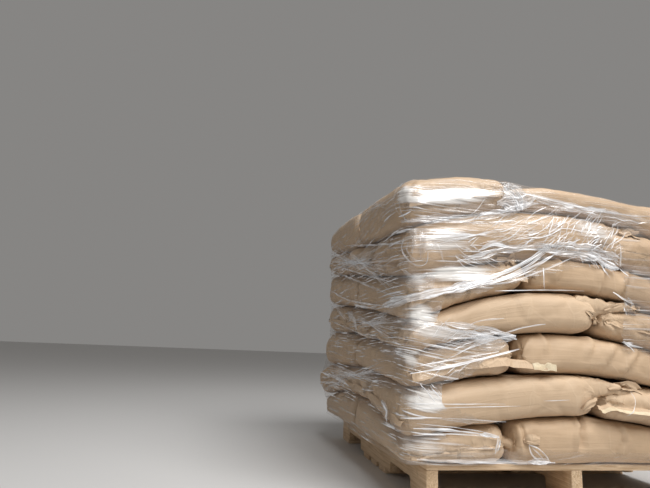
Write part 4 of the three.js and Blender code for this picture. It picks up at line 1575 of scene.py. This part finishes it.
def grain_group():
    """Fibres or growth lines that run along the first direction, from 0 to 1."""
    values = {"Along": 8.0, "Across": 300.0, "Waver": 0.3}
    tree, given, result = new_group("grain", values, ["Factor"])
    scale = {0: given["Along"], 1: given["Across"], 2: given["Across"]}
    scale = node(tree, "ShaderNodeCombineXYZ", scale).outputs[0]
    placed = vector_calc(tree, "MULTIPLY", given["Vector"], scale)
    lines = noise(tree, placed, 1.0, 3.0, 0.6, given["Waver"])["Fac"]
    tree.links.new(ranged(tree, lines, 0.25, 0.75), result["Factor"])
    return tree


def creasing_group():
    """Thin lines where a sheet was folded and crushed, from 0 to 1, that fade in and out."""
    values = {"Scale": 14.0, "Width": 0.08}
    tree, given, result = new_group("creasing", values, ["Factor", "Facets"])
    vector, scale = given["Vector"], given["Scale"]
    bent = noise(tree, vector, times(tree, scale, 0.6), 2.0)["Color"]
    moved = vector_calc(tree, "SCALE", bent, calc(tree, "DIVIDE", 0.9, scale))
    cell_inputs = {"Vector": vector_calc(tree, "ADD", vector, moved), "Scale": scale}
    edges = node(tree, "ShaderNodeTexVoronoi", cell_inputs, feature="DISTANCE_TO_EDGE")
    line = ranged(tree, edges.outputs["Distance"], given["Width"], 0.0)
    fading = noise(tree, cell_inputs["Vector"], times(tree, scale, 0.5), 1.0)["Fac"]
    tree.links.new(times(tree, line, ranged(tree, fading, 0.42, 0.62)), result["Factor"])
    whole = node(tree, "ShaderNodeTexVoronoi", cell_inputs, feature="SMOOTH_F1")
    tree.links.new(whole.outputs["Distance"], result["Facets"])
    return tree


def knot_group():
    """Scattered knots in wood that runs along the first direction, and the rings round them."""
    tree, given, result = new_group("knots", {}, ["Factor", "Rings"])
    placed = vector_calc(tree, "MULTIPLY", given["Vector"], (3.2, 8.0, 8.0))
    cells = node(tree, "ShaderNodeTexVoronoi", {"Vector": placed, "Scale": 1.0}, feature="F1")
    chance = node(tree, "ShaderNodeSeparateColor", {0: cells.outputs["Color"]}).outputs[0]
    present = ranged(tree, chance, 0.50, 0.52)
    distance = cells.outputs["Distance"]
    knot = times(tree, ranged(tree, distance, 0.13, 0.07), present)
    tree.links.new(knot, result["Factor"])
    wave = calc(tree, "SINE", times(tree, distance, 110.0), 0.0)
    near = times(tree, ranged(tree, distance, 0.32, 0.10), present)
    rings = times(tree, near, plus(tree, 0.6, times(tree, wave, 0.4)))
    tree.links.new(rings, result["Rings"])
    return tree


def use_group(tree, group, output="Factor", **inputs):
    """One of the shared groups, with its own values."""
    return node(tree, "ShaderNodeGroup", inputs, node_tree=groups[group]).outputs[output]


def new_material(name, roughness, **constants):
    """A material, its tree and its shader, with values that are the same all over."""
    material = bpy.data.materials.new(name)
    material.use_nodes = True
    tree = material.node_tree
    shader = tree.nodes["Principled BSDF"]
    shader.inputs["Roughness"].default_value = roughness
    for socket, value in constants.items():
        shader.inputs[socket.replace("_", " ")].default_value = value
    return material, tree, shader


def paper_material():
    """Brown paper with cloudy tones, fibres, soft flutes and creases, with more small creases near
    its ends."""
    material, tree, shader = new_material("kraft_paper", 0.62)
    uv = uv_place(tree, "paper")
    place = object_place(tree)
    near_end = ranged(tree, attribute(tree, "from_end"), 0.16, 0.0)
    clouds = use_group(tree, "mottling", Vector=place, Scale=4.5, Low=0.3, High=0.7)
    stains = use_group(tree, "mottling", Vector=place, Scale=17.0, Low=0.52, High=0.8)
    fibres = use_group(tree, "grain", Vector=uv, Along=22.0, Across=420.0, Waver=0.6)
    flutes = use_group(tree, "grain", Vector=uv, Along=2.4, Across=44.0, Waver=0.9)
    large = use_group(tree, "creasing", Vector=uv, Scale=8.0, Width=0.045)
    small = use_group(tree, "creasing", Vector=uv, Scale=26.0, Width=0.10)
    small = times(tree, small, plus(tree, 0.25, near_end))
    facets = use_group(tree, "creasing", "Facets", Vector=uv, Scale=11.0, Width=0.05)
    # The tone attribute is each sack's paleness, which on some sacks is painted shade
    colour = layered(tree, mixed(tree, clouds, PAPER_DARK, PAPER_LIGHT), [
        (attribute(tree, "tone"), 0.6, PAPER_PALE),
        (stains, 0.3, PAPER_STAIN),
        (fibres, 0.18, PAPER_FIBRE),
        (most(tree, large, small), 0.15, PAPER_CREASE),
        (flutes, 0.20, PAPER_STAIN),
    ])
    tree.links.new(colour, shader.inputs["Base Color"])
    tree.links.new(plus(tree, 0.6, times(tree, clouds, 0.14)), shader.inputs["Roughness"])
    height = weighed(tree, [(fibres, 0.04), (flutes, 0.42), (small, 0.5), (large, 0.15),
                            (facets, 1.3)])
    add_bump(tree, shader, height, 0.8, 0.0022)
    return material


def tape_material():
    """Cream paper, creped across."""
    material, tree, shader = new_material("closure_tape", 0.8)
    uv = uv_place(tree, "paper")
    crepe = use_group(tree, "grain", Vector=uv, Along=900.0, Across=60.0, Waver=0.8)
    clouds = use_group(tree, "mottling", Vector=uv, Scale=26.0, Low=0.35, High=0.7)
    colour = mixed(tree, clouds, TAPE_LIGHT, TAPE_DARK)
    colour = layered(tree, colour, [(crepe, 0.3, TAPE_CREPE)])
    tree.links.new(colour, shader.inputs["Base Color"])
    add_bump(tree, shader, crepe, 0.6, 0.001)
    return material


def film_material():
    """Clear film with fine white lines, partly its own pulled lines and partly painted highlight
    streaks. It is milky where it is folded, and painted white where it stands for the light's
    reflection.
    """
    material, tree, shader = new_material("stretch_film", 0.2, IOR=2.6)
    uv = uv_place(tree, "film")
    haze = attribute(tree, "haze")
    long_lines = stretched_noise(tree, uv, (2.2, 135.0, 1.0), 3.0, 0.65, 0.2)
    slant_lines = stretched_noise(tree, uv, (3.0, 120.0, 1.0), 3.0, 0.65, 0.2, 0.30)
    falling_lines = stretched_noise(tree, uv, (3.4, 100.0, 1.0), 3.0, 0.65, 0.2, -0.26)
    folds = stretched_noise(tree, uv, (2.4, 44.0, 1.0), 3.0, 0.6, 0.5)
    patches = stretched_noise(tree, uv, (2.2, 7.0, 1.0), 2.0, 0.5, 0.6)
    lines = mixed(tree, ranged(tree, patches, 0.42, 0.58), long_lines, slant_lines)
    lines = most(tree, lines, times(tree, falling_lines, 0.95))
    strength = plus(tree, attribute(tree, "streaks"), times(tree, haze, 0.5))
    # White lines: partly the film's own pulled lines and partly painted highlight streaks, most on
    # the shaded left side
    white_and_sheen_lines = times(tree, ranged(tree, lines, 0.555, 0.655), strength)
    # Painted highlight: white colour and alpha on the film that stand for the reflection of the
    # light
    ragged = weighed(tree, [(calc(tree, "SUBTRACT", folds, 0.5), 2.1),
                            (calc(tree, "SUBTRACT", lines, 0.5), 2.6)])
    painted_highlight_mask = times(tree, attribute(tree, "glare"), plus(tree, 0.85, ragged))
    painted_highlight_mask = ranged(tree, painted_highlight_mask, 0.05, 1.15)
    streaked = times(tree, haze, ranged(tree, lines, 0.46, 0.62, 0.45, 1.6))
    alpha = plus(tree, 0.08, times(tree, streaked, 0.42))
    alpha = plus(tree, alpha, times(tree, white_and_sheen_lines, 0.75))
    alpha = most(tree, alpha, times(tree, painted_highlight_mask, 0.92), clamp=True)
    tree.links.new(alpha, shader.inputs["Alpha"])
    milky = most(tree, ranged(tree, haze, 0.12, 0.7), times(tree, white_and_sheen_lines, 1.4))
    milky = most(tree, milky, painted_highlight_mask, clamp=True)
    colour = mixed(tree, painted_highlight_mask, mixed(tree, milky, FILM_CLEAR, FILM_MILKY), PAINTED_HIGHLIGHT_WHITE)
    tree.links.new(colour, shader.inputs["Base Color"])
    tree.links.new(ranged(tree, haze, 0.35, 0.9, 0.2, 0.45), shader.inputs["Roughness"])
    add_bump(tree, shader, weighed(tree, [(lines, 0.55), (folds, 1.2)]), 1.0, 0.0032)
    return material


def wood_material(name, along_y):
    """Pale softwood whose grain runs along the boards, or along the stringers. Each piece's tone
    also moves its pattern, so that no two are alike."""
    material, tree, shader = new_material(name, 0.72)
    place = object_place(tree)
    if along_y:
        parts = node(tree, "ShaderNodeSeparateXYZ", {0: place}).outputs
        turned = {0: parts[1], 1: parts[0], 2: parts[2]}
        place = node(tree, "ShaderNodeCombineXYZ", turned).outputs[0]
    tone = attribute(tree, "tone")
    apart = vector_calc(tree, "SCALE", (4.3, 2.9, 1.3), tone)
    place = vector_calc(tree, "ADD", place, apart)
    growth = use_group(tree, "grain", Vector=place, Along=3.0, Across=85.0, Waver=2.2)
    fibres = use_group(tree, "grain", Vector=place, Along=16.0, Across=700.0, Waver=0.2)
    clouds = use_group(tree, "mottling", Vector=place, Scale=7.0, Low=0.35, High=0.7)
    stains = use_group(tree, "mottling", Vector=place, Scale=16.0, Low=0.56, High=0.80)
    knots = use_group(tree, "knots", Vector=place)
    rings = use_group(tree, "knots", "Rings", Vector=place)
    colour = layered(tree, mixed(tree, tone, WOOD_WARM, WOOD_PALE), [
        (growth, 0.92, WOOD_GROWTH),
        (fibres, 0.25, WOOD_FIBRE),
        (clouds, 0.25, WOOD_CLOUD),
        (stains, 0.55, WOOD_STAIN),
        (rings, 0.55, WOOD_RING),
    ])
    tree.links.new(mixed(tree, knots, colour, WOOD_KNOT), shader.inputs["Base Color"])
    height = weighed(tree, [(growth, 0.5), (fibres, 0.6)])
    height = calc(tree, "SUBTRACT", height, times(tree, knots, 0.5))
    add_bump(tree, shader, height, 0.7, 0.0012)
    return material


# Pallet

def make_plank(name):
    """A pallet board or stringer with its edges worn and its faces a little uneven."""
    bm = bmesh.new()
    bm.from_mesh(frame["nodes"][name].data)
    bmesh.ops.remove_doubles(bm, verts=bm.verts[:], dist=1e-5)
    bmesh.ops.dissolve_limit(bm, angle_limit=math.radians(2), verts=bm.verts[:], edges=bm.edges[:])
    low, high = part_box(name)
    is_stringer = name.startswith("stringer")
    axis = 1 if is_stringer else 0
    seed = int(hashed(len(name), ord(name[-1]), ord(name[0]), 5) * 1000)
    for step in range(1, PLANK_SLICES):
        place = [0.0, 0.0, 0.0]
        place[axis] = low[axis] + (high[axis] - low[axis]) * step / PLANK_SLICES
        normal = [0.0, 0.0, 0.0]
        normal[axis] = 1.0
        bmesh.ops.bisect_plane(bm, geom=bm.verts[:] + bm.edges[:] + bm.faces[:], dist=1e-6,
                               plane_co=place, plane_no=normal)
    sharp = [edge for edge in bm.edges
             if len(edge.link_faces) == 2 and edge.calc_face_angle() > math.radians(PLANK_SHARP)]
    bmesh.ops.bevel(bm, geom=sharp, offset=PLANK_EDGE, segments=2, profile=0.5, affect="EDGES",
                    material=-1)
    mesh = mesh_from(bm, name)
    places = vertex_places(mesh)
    x, y, z = places.T
    offset = 0.0006 * soft_noise(x / 0.07, y / 0.07, z / 0.03 + seed, 401)
    offset += 0.0004 * soft_noise(x / 0.02, y / 0.02, z / 0.01 + seed, 402)
    set_places(mesh, places + vertex_normals(mesh) * offset[:, None])
    smooth_shaded(mesh)
    add_values(mesh, "tone", 0 * x + seed / 1000)
    piece = new_piece(f"wood_{name}", mesh)
    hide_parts(name)
    dressed_in(piece, "pallet_wood", "stringer_wood" if is_stringer else "deck_wood")


def add_nails():
    """The heads of the nails that hold the boards to the stringers, as one piece."""
    bm = bmesh.new()
    stringers = [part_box("stringer_" + side) for side in ("left", "centre", "right")]
    boards = [name for name in sorted(frame["nodes"])
              if name.startswith(("deck_board", "base_board"))]
    for board_index, board in enumerate(boards):
        low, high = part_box(board)
        height = high.z if board.startswith("deck") else low.z + NAIL_SUNK
        for stringer_index, (left, right) in enumerate(stringers):
            for row in range(NAILS_PER_CROSSING):
                stray_x, stray_y, lean_x, lean_y = (
                    hashed(board_index, stringer_index, row, seed) - 0.5
                    for seed in (950, 951, 952, 953))
                x = (left.x + right.x) / 2 + NAIL_STRAY[0] * stray_x
                y = low.y + (high.y - low.y) * (row + 0.5) / NAILS_PER_CROSSING
                y = y + NAIL_STRAY[1] * stray_y
                lean = (Matrix.Rotation(NAIL_LEAN * lean_x, 4, "X")
                        @ Matrix.Rotation(NAIL_LEAN * lean_y, 4, "Y"))
                bmesh.ops.create_cone(bm, cap_ends=True, segments=14, radius1=NAIL_HEAD,
                                      radius2=NAIL_HEAD * NAIL_TAPER, depth=NAIL_THICKNESS,
                                      matrix=Matrix.Translation((x, y, height)) @ lean)
    dressed_in(new_piece("nail_heads", mesh_from(bm, "nail_heads")), "nail_steel")


# Camera, lights and floor

def add_camera():
    """A camera that sees the load as the photo does."""
    place = Vector(CAMERA_PLACE) + Vector((LOAD_ORIGIN[0], LOAD_ORIGIN[1], 0))
    forward = Vector(CAMERA_FORWARD).normalized()
    right = Vector(CAMERA_RIGHT)
    right = (right - forward * right.dot(forward)).normalized()
    up = right.cross(forward).normalized()
    camera = bpy.data.objects.new("camera", bpy.data.cameras.new("camera"))
    bpy.context.scene.collection.objects.link(camera)
    camera.data.sensor_width = SENSOR_WIDTH
    camera.data.lens = CAMERA_LENS
    turned = Matrix((right, up, -forward)).transposed().to_4x4()
    turned.translation = place
    camera.matrix_world = turned
    bpy.context.scene.camera = camera


def add_light(light):
    """A soft lamp, turned to what it is aimed at."""
    lamp = bpy.data.lights.new(light.name, "AREA")
    lamp.shape = "RECTANGLE"
    lamp.size, lamp.size_y = light.size
    lamp.energy = light.power
    lamp.color = light.colour
    placed = bpy.data.objects.new(light.name, lamp)
    placed.location = light.place
    towards = Vector(light.aim) - placed.location
    placed.rotation_euler = towards.to_track_quat("-Z", "Y").to_euler()
    bpy.context.scene.collection.objects.link(placed)


def add_floor():
    bm = bmesh.new()
    bmesh.ops.create_grid(bm, x_segments=1, y_segments=1, size=FLOOR_SIZE)
    mesh = mesh_from(bm, "floor")
    floor = new_piece("floor", mesh)
    mesh.materials.append(new_material("floor", 0.8, Base_Color=FLOOR_GREY)[0])


def add_world():
    world = bpy.data.worlds.new("studio")
    world.use_nodes = True
    background = world.node_tree.nodes["Background"]
    background.inputs["Color"].default_value = WORLD_COLOUR
    background.inputs["Strength"].default_value = WORLD_STRENGTH
    bpy.context.scene.world = world
    bpy.context.scene.view_settings.view_transform = "Standard"


add_camera()
add_floor()
add_world()
for light in LIGHTS:
    add_light(light)

groups = {
    group.name: group
    for group in (mottling_group(), grain_group(), creasing_group(), knot_group())
}
materials = {
    "kraft_paper": paper_material(),
    "stretch_film": film_material(),
    "closure_tape": tape_material(),
    "deck_wood": wood_material("deck_wood", False),
    "stringer_wood": wood_material("stringer_wood", True),
    "nail_steel": new_material("nail_steel", 0.45, Base_Color=NAIL_GREY, Metallic=0.9)[0],
}

sacks = all_sacks()
grids = {name: closed_grid(f"sack_grid_{name}", segments) for name, segments in SACK_GRIDS.items()}
for sack in sacks:
    make_sack(sack, grids)
add_sewn_ends(sacks)
add_beaks(sacks)
add_loose_paper(surface_of(meshes_of("paper_", "beak_")))
load_surface = surface_of(meshes_of("paper_", "hem_", "tape_", "beak_"))
wrap_surface = make_film(load_surface)
add_loose_film(wrap_surface)
for name in list(frame["nodes"]):
    if name.startswith(("deck_board", "base_board", "stringer")):
        make_plank(name)
add_nails()
